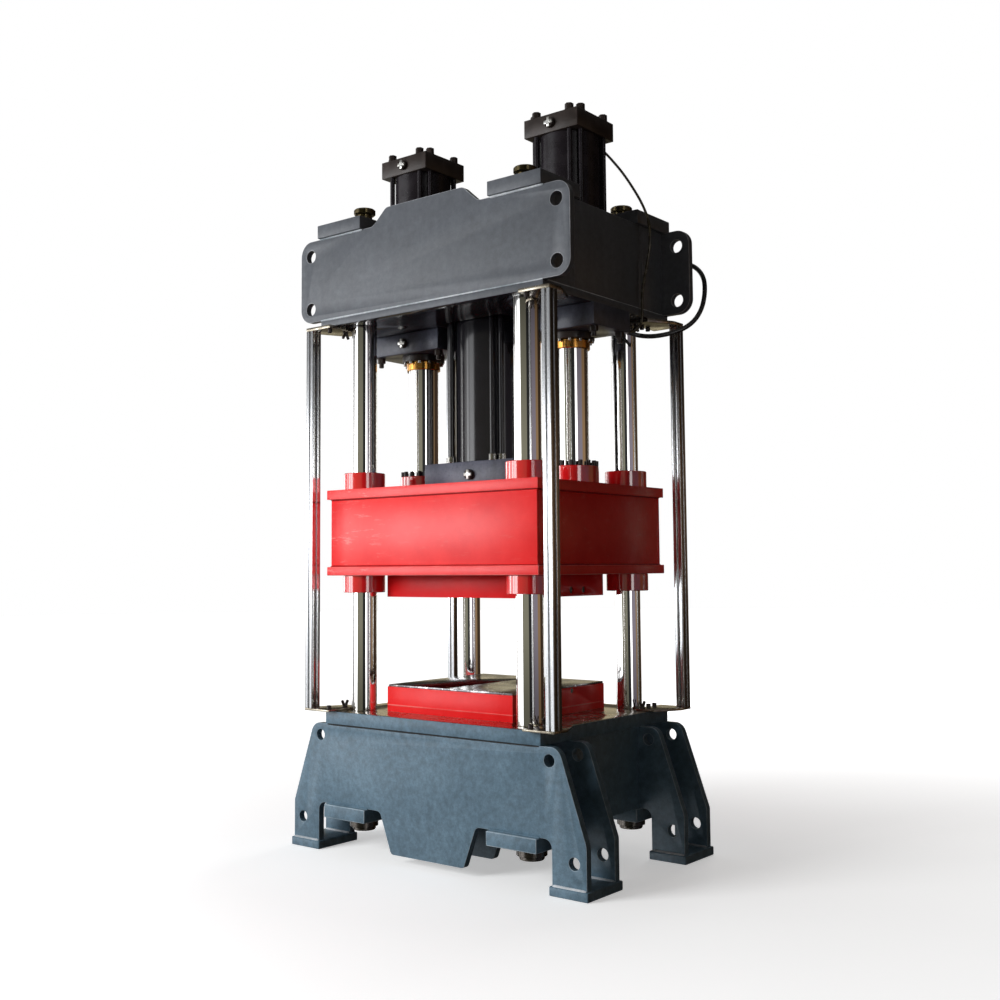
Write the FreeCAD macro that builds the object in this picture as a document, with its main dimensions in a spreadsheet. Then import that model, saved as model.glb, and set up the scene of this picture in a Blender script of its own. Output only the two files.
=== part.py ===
import FreeCAD, Part
import Sketcher
import math
import os
import re

# Trim press, in millimetres: X along the front, Y away from the viewer, Z up, floor at zero.
# The origin is on the floor at the middle of the four feet.
# The platen, its rods and the middle cylinder are drawn where the press holds them at rest.

doc = FreeCAD.newDocument("trim_press")
sheet = doc.addObject("Spreadsheet::Sheet", "sizes")

sizes = {
    # Columns and the clearance that slides on them
    "column_half_x": 598,
    "column_half_y": 476,
    "column_radius": 73.25,
    "bore_clearance": 0.4,
    # Upright plates, by their gaps to the column's axis
    "plate_thickness": 40,
    "outer_plate_gap": 100,
    "inner_plate_gap": 110,
    "panel_thickness": 20,
    # Base profile
    "foot_height": 47,
    "foot_margin": 12,
    "leg_gap": 226,
    "leg_width": 206,
    "leg_bend_height": 260,
    "leg_bend_radius": 60,
    "notch_height": 268,
    "notch_margin": 90,
    "notch_leg_radius": 45,
    "notch_belly_radius": 35,
    "belly_slope": 84,
    "belly_radius": 25,
    "base_top": 718,
    "shoulder_inset": 159,
    "shoulder_radius": 68,
    "base_hole_radius": 32,
    "shoulder_hole_inset": 58,
    "shoulder_hole_drop": 68,
    "leg_hole_inset": 73,
    "leg_hole_height": 170,
    # Blocks and nuts at the column ends
    "block_inner": 186,
    "block_outer": 171,
    "lower_block_inner": 166,
    "lower_block_outer": 154,
    "lower_block_height": 75,
    "lower_nut_radius": 80,
    "lower_nut_height": 74,
    "upper_block_inner": 127.5,
    "upper_block_outer": 224.5,
    "upper_block_height": 78,
    "nut_neck_radius": 45,
    "nut_neck_height": 58,
    "nut_head_radius": 64,
    "nut_head_height": 34,
    # Bolster plate and riser
    "bolster_overhang_x": 168,
    "bolster_overhang_y": 5,
    "bolster_height": 72.5,
    "riser_gap": 73.75,
    "riser_half_y": 437,
    "riser_height": 141,
    "riser_plate_height": 12,
    "riser_plate_inset": 4,
    "riser_hole_radius": 14,
    "riser_hole_y": 112,
    "riser_hole_drop": 16.5,
    # Crown
    "crown_floor": 3029,
    "crown_floor_height": 43,
    "crown_floor_overhang": 215,
    "crown_overhang_y": 8,
    "crown_height": 493,
    "lug_reach": 173,
    "crown_corner_radius": 85,
    "lug_hole_radius": 38,
    "lug_hole_inset": 85,
    "upper_lug_hole_drop": 92,
    "lower_lug_hole_rise": 80,
    "hump_height": 94,
    "hump_foot_x": 390,
    "hump_slope": 105,
    "hump_foot_radius": 60,
    "hump_shoulder_radius": 50,
    "crown_panel_inset": 10,
    # Side cylinders
    "barrel_radius": 172,
    "barrel_wall": 24,
    "barrel_length": 995,
    "tie_rod_radius": 14,
    "tie_rod_gap": 7,
    "tie_rod_angle": 35.5,
    "cap_nut_radius": 22,
    "cap_nut_height": 40,
    "cap_margin": 3,
    "cap_height": 105,
    "flange_wing": 91,
    "flange_gap": 36.8,
    "flange_height": 122,
    "floor_opening_margin": 5,
    "rod_radius": 90.5,
    "retainer_wall": 39,
    "retainer_height": 39,
    "gland_wall": 12.5,
    "gland_height": 51,
    "port_radius": 30,
    "port_height": 26,
    # Slotted outer posts and their brackets
    "post_offset_x": 263,
    "post_offset_y": 161,
    "post_width": 55,
    "post_depth": 66,
    "post_slot_width": 8,
    "post_slot_depth": 11,
    "lower_bracket_height": 12,
    "upper_bracket_height": 20,
    "bracket_column_gap": 18.75,
    "bracket_margin": 2,
    "bracket_ear": 106,
    "bracket_slope_x": 76,
    "bracket_slope_y": 166,
    # Platen
    "platen_overhang_x": 165,
    "platen_overhang_y": 143,
    "platen_bottom": 1566,
    "platen_height": 495,
    "platen_lower_flange": 50,
    "platen_upper_flange": 54,
    "web_inset": 18,
    "web_thickness": 25,
    "sleeve_wall": 21.35,
    "collar_wall": 26,
    "sleeve_above": 97,
    "sleeve_below": 98,
    "die_gap": 12,
    "die_half_y": 422,
    "die_height": 124,
    "die_hole_radius": 20,
    "die_hole_depth": 60,
    "die_hole_height": 35,
    "die_hole_inner_y": 100,
    "die_hole_outer_y": 224,
    "rod_flange_wall": 52.5,
    "rod_flange_height": 100,
    "rod_length": 1384,
    # Middle cylinder, bolted to the platen
    "middle_barrel_radius": 228,
    "middle_barrel_wall": 30,
    "middle_barrel_length": 900,
    "middle_rod_radius": 16,
    "middle_rod_gap": 15,
    "middle_low_angle": 42.8,
    "middle_steep_angle": 54.3,
    "middle_flange_wing": 117.5,
    "middle_flange_margin": 3.7,
    "middle_flange_height": 151,
    "middle_cap_margin": 10,
    "middle_cap_height": 100,
    "middle_opening_gap": 9,
    # Hose and cable at the right-hand end, and what they plug into
    "hose_radius": 13.5,
    "hose_fitting_radius": 23,
    "hose_elbow_radius": 26,
    "hose_ferrule_radius": 19,
    "hose_ferrule_length": 34,
    "cable_radius": 7.5,
    "cable_socket_radius": 14,
}
for row, (name, number) in enumerate(sizes.items(), 1):
    sheet.set(f"A{row}", name)
    sheet.set(f"B{row}", str(number))
    sheet.setAlias(f"B{row}", name)
doc.recompute()

# Names of the finished sub-parts, in the order they are built.
finished = []


def bound(text):
    """A size rule, with each name read from the sheet."""
    return re.sub(r"\b(?!sin\b|cos\b)[a-z][a-z_]*", lambda word: "sizes." + word.group(), text)


def at(thing, x="0", y="0", z="0"):
    """Places a thing by three size rules."""
    for axis, rule in zip("xyz", (x, y, z)):
        thing.setExpression("Placement.Base." + axis, bound(rule))


def side(sign, low, high):
    """The same stretch on the plus or the minus side of the middle."""
    if sign > 0:
        return low, high
    return f"-({high})", f"-({low})"


def both(rule):
    """A stretch that is centred on the middle."""
    return f"-({rule})", rule


def block(name, x, y, z):
    """A plate or bar between a low and a high rule on each axis."""
    thing = doc.addObject("Part::Box", name)
    for length, (low, high) in zip(("Length", "Width", "Height"), (x, y, z)):
        thing.setExpression(length, bound(f"({high}) - ({low})"))
    at(thing, x[0], y[0], z[0])
    return thing


def bar(name, radius, x, y, z):
    """An upright round bar between a low and a high rule."""
    thing = doc.addObject("Part::Cylinder", name)
    thing.setExpression("Radius", bound(radius))
    thing.setExpression("Height", bound(f"({z[1]}) - ({z[0]})"))
    at(thing, x, y, z[0])
    return thing


def front_bar(name, radius, x, y, z):
    """A round bar that lies along Y, from the rule y[0] towards the rear."""
    thing = doc.addObject("Part::Cylinder", name)
    thing.setExpression("Radius", bound(radius))
    thing.setExpression("Height", bound(f"({y[1]}) - ({y[0]})"))
    thing.Placement.Rotation = FreeCAD.Rotation(FreeCAD.Vector(1, 0, 0), -90)
    at(thing, x, y[0], z)
    return thing


def end_bar(name, radius, sign, face, depth, y, z):
    """A round bar along X, from the rule for an end face inwards."""
    thing = doc.addObject("Part::Cylinder", name)
    thing.setExpression("Radius", bound(radius))
    thing.setExpression("Height", bound(depth))
    thing.Placement.Rotation = FreeCAD.Rotation(FreeCAD.Vector(0, 1, 0), -90 * sign)
    at(thing, f"{sign} * ({face})", y, z)
    return thing


def joined(name, things):
    """Things that make one solid."""
    fuse = doc.addObject("Part::MultiFuse", name)
    fuse.Shapes = things
    fuse.Refine = True
    return fuse


def cut(name, base, tools):
    """A thing with others taken out of it."""
    tool = tools[0] if len(tools) == 1 else joined(name + "_tools", tools)
    result = doc.addObject("Part::Cut", name)
    result.Base = base
    result.Tool = tool
    return result


def keep(label, things):
    """Labels a finished sub-part, which may be several like solids apart from each other."""
    if len(things) == 1:
        part = things[0]
    else:
        part = doc.addObject("Part::Compound", label)
        part.Links = things
    part.Label = label
    finished.append(part)
    return part


def value(rule):
    """The number that a sum of sheet names comes to, for a first sketch."""
    terms = re.findall(r"([+-]?) ?([a-z][a-z_]*)", rule)
    return sum(-sizes[name] if sign == "-" else sizes[name] for sign, name in terms)


def origin_plane(body, role):
    return next(plane for plane in body.Origin.OriginFeatures if plane.Role == role)


def profile_plate(name, corners, holes, front):
    """An upright plate cut to a profile that is the same on the left and on the right.

    corners run from the bottom middle round the right side to the top middle, each with the
    rules for its X, its height and its rounding. holes give X, height and radius.
    front is the rule for the Y of the plate's front face.
    """
    body = doc.addObject("PartDesign::Body", name)
    profile = body.newObject("Sketcher::SketchObject", name + "_profile")
    profile.AttachmentSupport = [(origin_plane(body, "XZ_Plane"), "")]
    profile.MapMode = "FlatFace"
    outline = [(1, x, z) for x, z, rounding in corners]
    outline += [(-1, x, z) for x, z, rounding in reversed(corners)]
    points = [FreeCAD.Vector(sign * value(x), value(z), 0) for sign, x, z in outline]
    for start, end in zip(points, points[1:] + points[:1]):
        profile.addGeometry(Part.LineSegment(start, end), False)
    for line in range(len(points)):
        profile.addConstraint(
            Sketcher.Constraint("Coincident", line, 2, (line + 1) % len(points), 1))

    def fix(kind, sign, element, point, rule):
        ends = (-1, 1, element, point) if sign > 0 else (element, point, -1, 1)
        number = profile.addConstraint(Sketcher.Constraint(kind, *ends, value(rule)))
        profile.setExpression(f"Constraints[{number}]", bound(rule))

    for line, (sign, x, z) in enumerate(outline):
        fix("DistanceX", sign, line, 1, x)
        fix("DistanceY", 1, line, 1, z)
    for x, z, radius in holes:
        for sign in (1, -1):
            centre = FreeCAD.Vector(sign * value(x), value(z), 0)
            circle = profile.addGeometry(
                Part.Circle(centre, FreeCAD.Vector(0, 0, 1), value(radius)), False)
            fix("DistanceX", sign, circle, 3, x)
            fix("DistanceY", 1, circle, 3, z)
            number = profile.addConstraint(Sketcher.Constraint("Radius", circle, value(radius)))
            profile.setExpression(f"Constraints[{number}]", bound(radius))
    feature = body.newObject("PartDesign::Pad", name + "_pad")
    feature.Profile = profile
    feature.Reversed = True
    feature.setExpression("Length", bound("plate_thickness"))
    body.Tip = feature
    doc.recompute()
    for corner, (x, z, rounding) in enumerate(corners):
        if rounding:
            edges = []
            for number, edge in enumerate(feature.Shape.Edges, 1):
                middle = edge.CenterOfMass
                reach = math.hypot(abs(middle.x) - value(x), middle.z - value(z))
                if reach < 1e-3 and edge.BoundBox.YLength > 1:
                    edges.append(f"Edge{number}")
            fillet = body.newObject("PartDesign::Fillet", f"{name}_rounding_{corner}")
            fillet.Base = (feature, edges)
            fillet.setExpression("Radius", bound(rounding))
            body.Tip = fillet
            doc.recompute()
            feature = fillet
    at(body, y=front)
    return body


# Lines that several pieces share, as rules from the sheet
outer_plate_y = "column_half_y + outer_plate_gap + plate_thickness"
inner_plate_y = "column_half_y - inner_plate_gap"
column_bore = "column_radius + bore_clearance"
rod_bore = "rod_radius + bore_clearance"
corners = [(sx, sy) for sy in (-1, 1) for sx in (-1, 1)]
column_places = [(f"{sx} * column_half_x", f"{sy} * column_half_y") for sx, sy in corners]

# Base: four upright plates of one profile, standing on four foot pads
leg_inner_x = "column_half_x + leg_gap"
leg_outer_x = "column_half_x + leg_gap + leg_width"
shoulder_x = leg_outer_x + " - shoulder_inset"
notch_end_x = "column_half_x - lower_block_inner - notch_margin"
base_corners = [
    (notch_end_x + " - belly_slope", "foot_height", "belly_radius"),
    (notch_end_x, "notch_height", "notch_belly_radius"),
    (leg_inner_x, "notch_height", "notch_leg_radius"),
    (leg_inner_x, "foot_height", None),
    (leg_outer_x, "foot_height", None),
    (leg_outer_x, "leg_bend_height", "leg_bend_radius"),
    (shoulder_x, "base_top", "shoulder_radius"),
]
base_holes = [
    (shoulder_x + " - shoulder_hole_inset", "base_top - shoulder_hole_drop", "base_hole_radius"),
    (leg_outer_x + " - leg_hole_inset", "leg_hole_height", "base_hole_radius"),
]
keep("base_front_plate", [
    profile_plate("base_front_plate", base_corners, base_holes, f"-({outer_plate_y})")])
keep("base_inner_plates", [
    profile_plate("base_front_inner_plate", base_corners, base_holes, f"-({inner_plate_y})"),
    profile_plate("base_rear_inner_plate", base_corners, base_holes,
                  inner_plate_y + " - plate_thickness")])
keep("base_rear_plate", [
    profile_plate("base_rear_plate", base_corners, base_holes,
                  outer_plate_y + " - plate_thickness")])

# Foot pads, one under each pair of legs
keep("foot_pads", [
    block(f"foot_pad_{number}",
          side(sx, leg_inner_x + " - foot_margin", leg_outer_x + " + foot_margin"),
          side(sy, inner_plate_y + " - plate_thickness - foot_margin",
               outer_plate_y + " + foot_margin"),
          ("0", "foot_height"))
    for number, (sx, sy) in enumerate(corners)])

# Column blocks in the notches of the base, and the nuts under them
block_y = ("column_half_y - block_inner", "column_half_y + block_outer")
lower_block_x = ("column_half_x - lower_block_inner", "column_half_x + lower_block_outer")
lower_block_z = ("notch_height - lower_block_height", "notch_height")
lower_blocks = []
for number, (sx, sy) in enumerate(corners):
    body = block(f"lower_block_{number}_bar", side(sx, *lower_block_x), side(sy, *block_y),
                 lower_block_z)
    hole = bar(f"lower_block_{number}_hole", column_bore, *column_places[number], lower_block_z)
    lower_blocks.append(cut(f"lower_block_{number}", body, [hole]))
keep("lower_column_blocks", lower_blocks)
keep("lower_column_nuts", [
    bar(f"lower_nut_{number}", "lower_nut_radius", x, y,
        (lower_block_z[0] + " - lower_nut_height", lower_block_z[0]))
    for number, (x, y) in enumerate(column_places)])

# End panels that close the base between its inner plates
panel_y = both(inner_plate_y + " - plate_thickness")
keep("base_end_panels", [
    block(f"base_end_panel_{number}",
          side(sx, lower_block_x[1] + " - panel_thickness", lower_block_x[1]),
          panel_y, ("notch_height", "base_top"))
    for number, sx in enumerate((-1, 1))])

# Bolster plate on the base, with the four column holes
bolster_z = ("base_top", "base_top + bolster_height")
bolster = block("bolster_slab", both("column_half_x + bolster_overhang_x"),
                both(outer_plate_y + " + bolster_overhang_y"), bolster_z)
bolster_holes = [bar(f"bolster_hole_{number}", column_bore, x, y, bolster_z)
                 for number, (x, y) in enumerate(column_places)]
keep("bolster_plate", [cut("bolster_plate", bolster, bolster_holes)])

# Riser on the bolster with a hole in each end, and the steel plate on its top
riser_half_x = "column_half_x - column_radius - riser_gap"
riser_top = bolster_z[1] + " + riser_height"
riser_block = block("riser_block", both(riser_half_x), both("riser_half_y"),
                    (bolster_z[1], riser_top))
riser_holes = [end_bar(f"riser_hole_{sx + 1}", "riser_hole_radius", sx, riser_half_x,
                        "die_hole_depth", "riser_hole_y", riser_top + " - riser_hole_drop")
               for sx in (-1, 1)]
keep("riser_box", [cut("riser_box", riser_block, riser_holes)])
keep("riser_top_plate", [block("riser_top_plate", both(riser_half_x + " - riser_plate_inset"),
                               both("riser_half_y - riser_plate_inset"),
                               (riser_top, riser_top + " + riser_plate_height"))])

# Columns from the lower blocks to the top of the upper blocks
crown_top = "crown_floor + crown_floor_height + crown_height"
upper_block_top = crown_top + " + upper_block_height"
keep("guide_columns", [bar(f"guide_column_{number}", "column_radius", x, y,
                           (lower_block_z[0], upper_block_top))
                       for number, (x, y) in enumerate(column_places)])

# Side cylinders' plan: eight tie rods in pairs near the corners of a square cap
tie_circle = "(barrel_radius + tie_rod_radius + tie_rod_gap)"
tie_far = f"cos(tie_rod_angle) * {tie_circle}"
tie_near = f"sin(tie_rod_angle) * {tie_circle}"
cap_half = tie_far + " + cap_nut_radius + cap_margin"
flange_half_x = cap_half + " + flange_wing"
floor_opening_half = tie_far + " + tie_rod_radius + floor_opening_margin"

# Middle cylinder's plan: eight rods on a circle, under a square cap that rises through the crown
middle_circle = "(middle_barrel_radius + middle_rod_radius + middle_rod_gap)"
middle_reach = f"sin(middle_steep_angle) * {middle_circle} + middle_rod_radius"
middle_cap_half = middle_reach + " + middle_cap_margin"
middle_opening_half = middle_cap_half + " + middle_opening_gap"
cylinder_x = f"({middle_opening_half} + flange_gap + {flange_half_x})"

# Crown floor plate, cut out for the columns and the three cylinders
floor_top = "crown_floor + crown_floor_height"
floor_z = ("crown_floor", floor_top)
floor_half_x = "column_half_x + crown_floor_overhang"
crown_half_y = outer_plate_y + " + crown_overhang_y"
floor_slab = block("crown_floor_slab", both(floor_half_x), both(crown_half_y), floor_z)
floor_cuts = [bar(f"crown_floor_hole_{number}", column_bore, x, y, floor_z)
              for number, (x, y) in enumerate(column_places)]
floor_cuts.append(block("crown_floor_middle", both(middle_opening_half),
                        both(middle_opening_half), floor_z))
for sx in (-1, 1):
    x = f"{sx} * {cylinder_x}"
    floor_cuts.append(block(f"crown_floor_opening_{sx + 1}",
                            (f"{x} - ({floor_opening_half})", f"{x} + {floor_opening_half}"),
                            both(floor_opening_half), floor_z))
keep("crown_floor_plate", [cut("crown_floor_plate", floor_slab, floor_cuts)])

# Crown plates: the outer two have lugs at both ends and a raised middle
crown_half_x = floor_half_x + " + lug_reach"
crown_corners = [
    (crown_half_x, floor_top, "crown_corner_radius"),
    (crown_half_x, crown_top, "crown_corner_radius"),
    ("hump_foot_x", crown_top, "hump_foot_radius"),
    ("hump_foot_x - hump_slope", crown_top + " + hump_height", "hump_shoulder_radius"),
]
lug_hole_x = crown_half_x + " - lug_hole_inset"
crown_holes = [
    (lug_hole_x, crown_top + " - upper_lug_hole_drop", "lug_hole_radius"),
    (lug_hole_x, floor_top + " + lower_lug_hole_rise", "lug_hole_radius"),
]
keep("crown_front_plate", [profile_plate("crown_front_plate", crown_corners, crown_holes,
                                         f"-({crown_half_y})")])
keep("crown_rear_plate", [profile_plate("crown_rear_plate", crown_corners, crown_holes,
                                        crown_half_y + " - plate_thickness")])
crown_panel_x = floor_half_x + " - crown_panel_inset"
keep("crown_inner_plates", [
    block(f"crown_inner_plate_{number}", both(crown_panel_x),
          side(sy, inner_plate_y + " - plate_thickness", inner_plate_y), (floor_top, crown_top))
    for number, sy in enumerate((-1, 1))])

# Panels that close the crown's ends, between the plates and outside them
end_panels = []
for sx in (-1, 1):
    x = side(sx, crown_panel_x + " - panel_thickness", crown_panel_x)
    end_panels.append(block(f"crown_end_panel_{len(end_panels)}", x, panel_y,
                            (floor_top, crown_top)))
    for sy in (-1, 1):
        y = side(sy, inner_plate_y, crown_half_y + " - plate_thickness")
        end_panels.append(block(f"crown_end_panel_{len(end_panels)}", x, y,
                                (floor_top, crown_top)))
keep("crown_end_panels", end_panels)

# Column blocks on the crown and the nuts on them, each a round neck under a wider head
upper_block_x = ("column_half_x - upper_block_inner", "column_half_x + upper_block_outer")
upper_block_z = (crown_top, upper_block_top)
upper_blocks = []
upper_nuts = []
neck_top = upper_block_top + " + nut_neck_height"
for number, (sx, sy) in enumerate(corners):
    body = block(f"upper_block_{number}_bar", side(sx, *upper_block_x), side(sy, *block_y),
                 upper_block_z)
    hole = bar(f"upper_block_{number}_hole", column_bore, *column_places[number], upper_block_z)
    upper_blocks.append(cut(f"upper_block_{number}", body, [hole]))
    neck = bar(f"upper_nut_{number}_neck", "nut_neck_radius", *column_places[number],
               (upper_block_top, neck_top))
    head = bar(f"upper_nut_{number}_head", "nut_head_radius", *column_places[number],
               (neck_top, neck_top + " + nut_head_height"))
    upper_nuts.append(joined(f"upper_nut_{number}", [neck, head]))
keep("upper_column_blocks", upper_blocks)
keep("upper_column_nuts", upper_nuts)

# Side cylinders: flange under the crown floor, barrel, cap, tie rods, nuts, gland and ports
flange_z = ("crown_floor - flange_height", "crown_floor")
barrel_top = "crown_floor + barrel_length"
cap_top = barrel_top + " + cap_height"
retainer_bottom = flange_z[0] + " - retainer_height"
gland_bottom = retainer_bottom + " - gland_height"
flanges = []
barrels = []
caps = []
retainers = []
glands = []
tie_rods = []
cap_nuts = []
ports = []


def ring(name, outside, inside, x, z):
    """An upright tube between a low and a high rule."""
    return cut(name, bar(name + "_outside", outside, x, "0", z),
               [bar(name + "_inside", inside, x, "0", z)])


for sx in (-1, 1):
    x = f"{sx} * {cylinder_x}"
    plate = block(f"flange_slab_{sx + 1}", (f"{x} - ({flange_half_x})", f"{x} + {flange_half_x}"),
                  both(cap_half), flange_z)
    hole = bar(f"flange_hole_{sx + 1}", rod_bore, x, "0", flange_z)
    flanges.append(cut(f"cylinder_flange_{sx + 1}", plate, [hole]))
    barrels.append(ring(f"cylinder_barrel_{sx + 1}", "barrel_radius",
                        "barrel_radius - barrel_wall", x, ("crown_floor", barrel_top)))
    caps.append(block(f"cylinder_cap_{sx + 1}", (f"{x} - ({cap_half})", f"{x} + {cap_half}"),
                      both(cap_half), (barrel_top, cap_top)))
    retainers.append(ring(f"gland_retainer_{sx + 1}", "rod_radius + retainer_wall", rod_bore, x,
                          (retainer_bottom, flange_z[0])))
    glands.append(ring(f"rod_gland_{sx + 1}", "rod_radius + gland_wall", rod_bore, x,
                       (gland_bottom, retainer_bottom)))
    for dx, dy in corners:
        for across, along in ((tie_far, tie_near), (tie_near, tie_far)):
            rod_x = f"{x} + {dx} * {across}"
            rod_y = f"{dy} * {along}"
            tie_rods.append(bar(f"tie_rod_{len(tie_rods)}", "tie_rod_radius", rod_x, rod_y,
                                ("crown_floor", barrel_top)))
            cap_nuts.append(bar(f"cap_nut_{len(cap_nuts)}", "cap_nut_radius", rod_x, rod_y,
                                (cap_top, cap_top + " + cap_nut_height")))
    for level in (flange_z[0] + " + flange_height / 2", barrel_top + " + cap_height / 2"):
        ports.append(front_bar(f"port_fitting_{len(ports)}", "port_radius", x,
                               (f"-({cap_half}) - port_height", f"-({cap_half})"), level))
keep("cylinder_flanges", flanges)
keep("cylinder_barrels", barrels)
keep("cylinder_caps", caps)
keep("gland_retainers", retainers)
keep("rod_glands", glands)
keep("cylinder_tie_rods", tie_rods)
keep("cap_nuts", cap_nuts)
keep("port_fittings", ports)

# Outer posts, slotted on all four faces, between brackets on the bolster and the crown floor
post_x = ("column_half_x + post_offset_x - post_width / 2",
          "column_half_x + post_offset_x + post_width / 2")
post_y = ("column_half_y + post_offset_y - post_depth / 2",
          "column_half_y + post_offset_y + post_depth / 2")
lower_bracket_z = (bolster_z[1], bolster_z[1] + " + lower_bracket_height")
upper_bracket_z = ("crown_floor - upper_bracket_height", "crown_floor")
bracket_x = ("column_half_x + column_radius + bracket_column_gap", post_x[1])
bracket_y = post_y[1] + " + bracket_margin"
posts = []
brackets = []


def bracket(name, sx, sy, z):
    """A plate under or over a post, with an ear beside the column that narrows inwards."""
    ear = (bracket_y + " - bracket_ear", bracket_y)
    plate = block(name + "_plate", side(sx, *bracket_x), side(sy, *ear), z)
    narrow = side(sx, bracket_x[0], bracket_x[1] + " - bracket_slope_x")
    wide = side(sx, *bracket_x)
    low, high = (narrow, wide) if sy > 0 else (wide, narrow)
    y = side(sy, ear[0] + " - bracket_slope_y", ear[0])
    wedge = doc.addObject("Part::Wedge", name + "_wedge")
    for field, rule in (("Xmin", low[0]), ("Xmax", low[1]), ("X2min", high[0]),
                        ("X2max", high[1]), ("Ymin", y[0]), ("Ymax", y[1]),
                        ("Zmin", z[0]), ("Z2min", z[0]), ("Zmax", z[1]), ("Z2max", z[1])):
        wedge.setExpression(field, bound(rule))
    return joined(name, [plate, wedge])


for number, (sx, sy) in enumerate(corners):
    x = side(sx, *post_x)
    y = side(sy, *post_y)
    z = (lower_bracket_z[1], upper_bracket_z[0])
    middle_x = f"{sx} * (column_half_x + post_offset_x)"
    middle_y = f"{sy} * (column_half_y + post_offset_y)"
    across = (middle_x + " - post_slot_width / 2", middle_x + " + post_slot_width / 2")
    along = (middle_y + " - post_slot_width / 2", middle_y + " + post_slot_width / 2")
    slots = [
        block(f"post_{number}_slot_front", across, (y[0], f"{y[0]} + post_slot_depth"), z),
        block(f"post_{number}_slot_rear", across, (f"{y[1]} - post_slot_depth", y[1]), z),
        block(f"post_{number}_slot_left", (x[0], f"{x[0]} + post_slot_depth"), along, z),
        block(f"post_{number}_slot_right", (f"{x[1]} - post_slot_depth", x[1]), along, z),
    ]
    posts.append(cut(f"outer_post_{number}", block(f"outer_post_{number}_bar", x, y, z), slots))
    brackets.append(bracket(f"lower_bracket_{number}", sx, sy, lower_bracket_z))
    brackets.append(bracket(f"upper_bracket_{number}", sx, sy, upper_bracket_z))
keep("outer_posts", posts)
keep("post_brackets", brackets)

# Platen: two flange plates with webs between them, on four sleeves that run on the columns
platen_top = "platen_bottom + platen_height"
platen_half_x = "column_half_x + platen_overhang_x"
platen_half_y = "column_half_y + platen_overhang_y"
lower_flange_top = "platen_bottom + platen_lower_flange"
upper_flange_bottom = platen_top + " - platen_upper_flange"
sleeve_radius = "column_radius + sleeve_wall"


def platen_flange(name, z):
    """A platen plate with its four sleeve holes."""
    slab = block(name + "_slab", both(platen_half_x), both(platen_half_y), z)
    holes = [bar(f"{name}_hole_{number}", sleeve_radius + " + bore_clearance", x, y, z)
             for number, (x, y) in enumerate(column_places)]
    return cut(name, slab, holes)


keep("platen_bottom_plate",
     [platen_flange("platen_bottom_plate", ("platen_bottom", lower_flange_top))])
keep("platen_top_plate",
     [platen_flange("platen_top_plate", (upper_flange_bottom, platen_top))])
web_z = (lower_flange_top, upper_flange_bottom)
web_x = (platen_half_x + " - web_inset - web_thickness", platen_half_x + " - web_inset")
web_y = (platen_half_y + " - web_inset - web_thickness", platen_half_y + " - web_inset")
keep("platen_long_webs", [
    block(f"platen_long_web_{number}", both(web_x[1]), side(sy, *web_y), web_z)
    for number, sy in enumerate((-1, 1))])
keep("platen_end_webs", [
    block(f"platen_end_web_{number}", side(sx, *web_x), both(web_y[0]), web_z)
    for number, sx in enumerate((-1, 1))])
sleeves = []
collars = []
for number, (x, y) in enumerate(column_places):
    z = ("platen_bottom - sleeve_below", platen_top + " + sleeve_above")
    outside = bar(f"sleeve_{number}_outside", sleeve_radius, x, y, z)
    inside = bar(f"sleeve_{number}_inside", column_bore, x, y, z)
    sleeves.append(cut(f"guide_sleeve_{number}", outside, [inside]))
    for place, collar_z in (("lower", (z[0], "platen_bottom")), ("upper", (platen_top, z[1]))):
        name = f"{place}_collar_{number}"
        outside = bar(name + "_outside", sleeve_radius + " + collar_wall", x, y, collar_z)
        inside = bar(name + "_inside", sleeve_radius + " + bore_clearance", x, y, collar_z)
        collars.append(cut(name, outside, [inside]))
keep("guide_sleeves", sleeves)
keep("sleeve_collars", collars)

# Upper die plate under the platen, with two lifting holes in each end
die_half_x = f"column_half_x - ({sleeve_radius} + collar_wall) - die_gap"
die_bottom = "platen_bottom - die_height"
die_slab = block("die_slab", both(die_half_x), both("die_half_y"), (die_bottom, "platen_bottom"))
die_holes = []
for sx in (-1, 1):
    for y in ("die_hole_inner_y", "die_hole_outer_y"):
        die_holes.append(end_bar(f"die_hole_{len(die_holes)}", "die_hole_radius", sx, die_half_x,
                                  "die_hole_depth", y, die_bottom + " + die_hole_height"))
keep("upper_die_plate", [cut("upper_die_plate", die_slab, die_holes)])

# Rods, and the flange rings that hold them on the platen
rings = []
rods = []
for sx in (-1, 1):
    x = f"{sx} * {cylinder_x}"
    rings.append(ring(f"rod_ring_{sx + 1}", "rod_radius + rod_flange_wall", rod_bore, x,
                      (platen_top, platen_top + " + rod_flange_height")))
    rods.append(bar(f"cylinder_rod_{sx + 1}", "rod_radius", x, "0",
                    (platen_top, platen_top + " + rod_length")))
keep("rod_flanges", rings)
keep("cylinder_rods", rods)

# Middle cylinder on the platen, which rises through the crown floor
middle_flange_top = platen_top + " + middle_flange_height"
middle_barrel_top = middle_flange_top + " + middle_barrel_length"
middle_z = (middle_flange_top, middle_barrel_top)
keep("middle_cylinder_flange", [block("middle_cylinder_flange",
                                      both(middle_reach + " + middle_flange_wing"),
                                      both(middle_reach + " + middle_flange_margin"),
                                      (platen_top, middle_flange_top))])
keep("middle_cylinder_barrel", [ring("middle_cylinder_barrel", "middle_barrel_radius",
                                     "middle_barrel_radius - middle_barrel_wall", "0", middle_z)])
keep("middle_cylinder_cap", [block("middle_cylinder_cap", both(middle_cap_half),
                                   both(middle_cap_half),
                                   (middle_barrel_top, middle_barrel_top + " + middle_cap_height"))])
middle_rods = []
for sx, sy in corners:
    for angle in ("middle_low_angle", "middle_steep_angle"):
        middle_rods.append(bar(f"middle_tie_rod_{len(middle_rods)}", "middle_rod_radius",
                               f"{sx} * cos({angle}) * {middle_circle}",
                               f"{sy} * sin({angle}) * {middle_circle}", middle_z))
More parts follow.
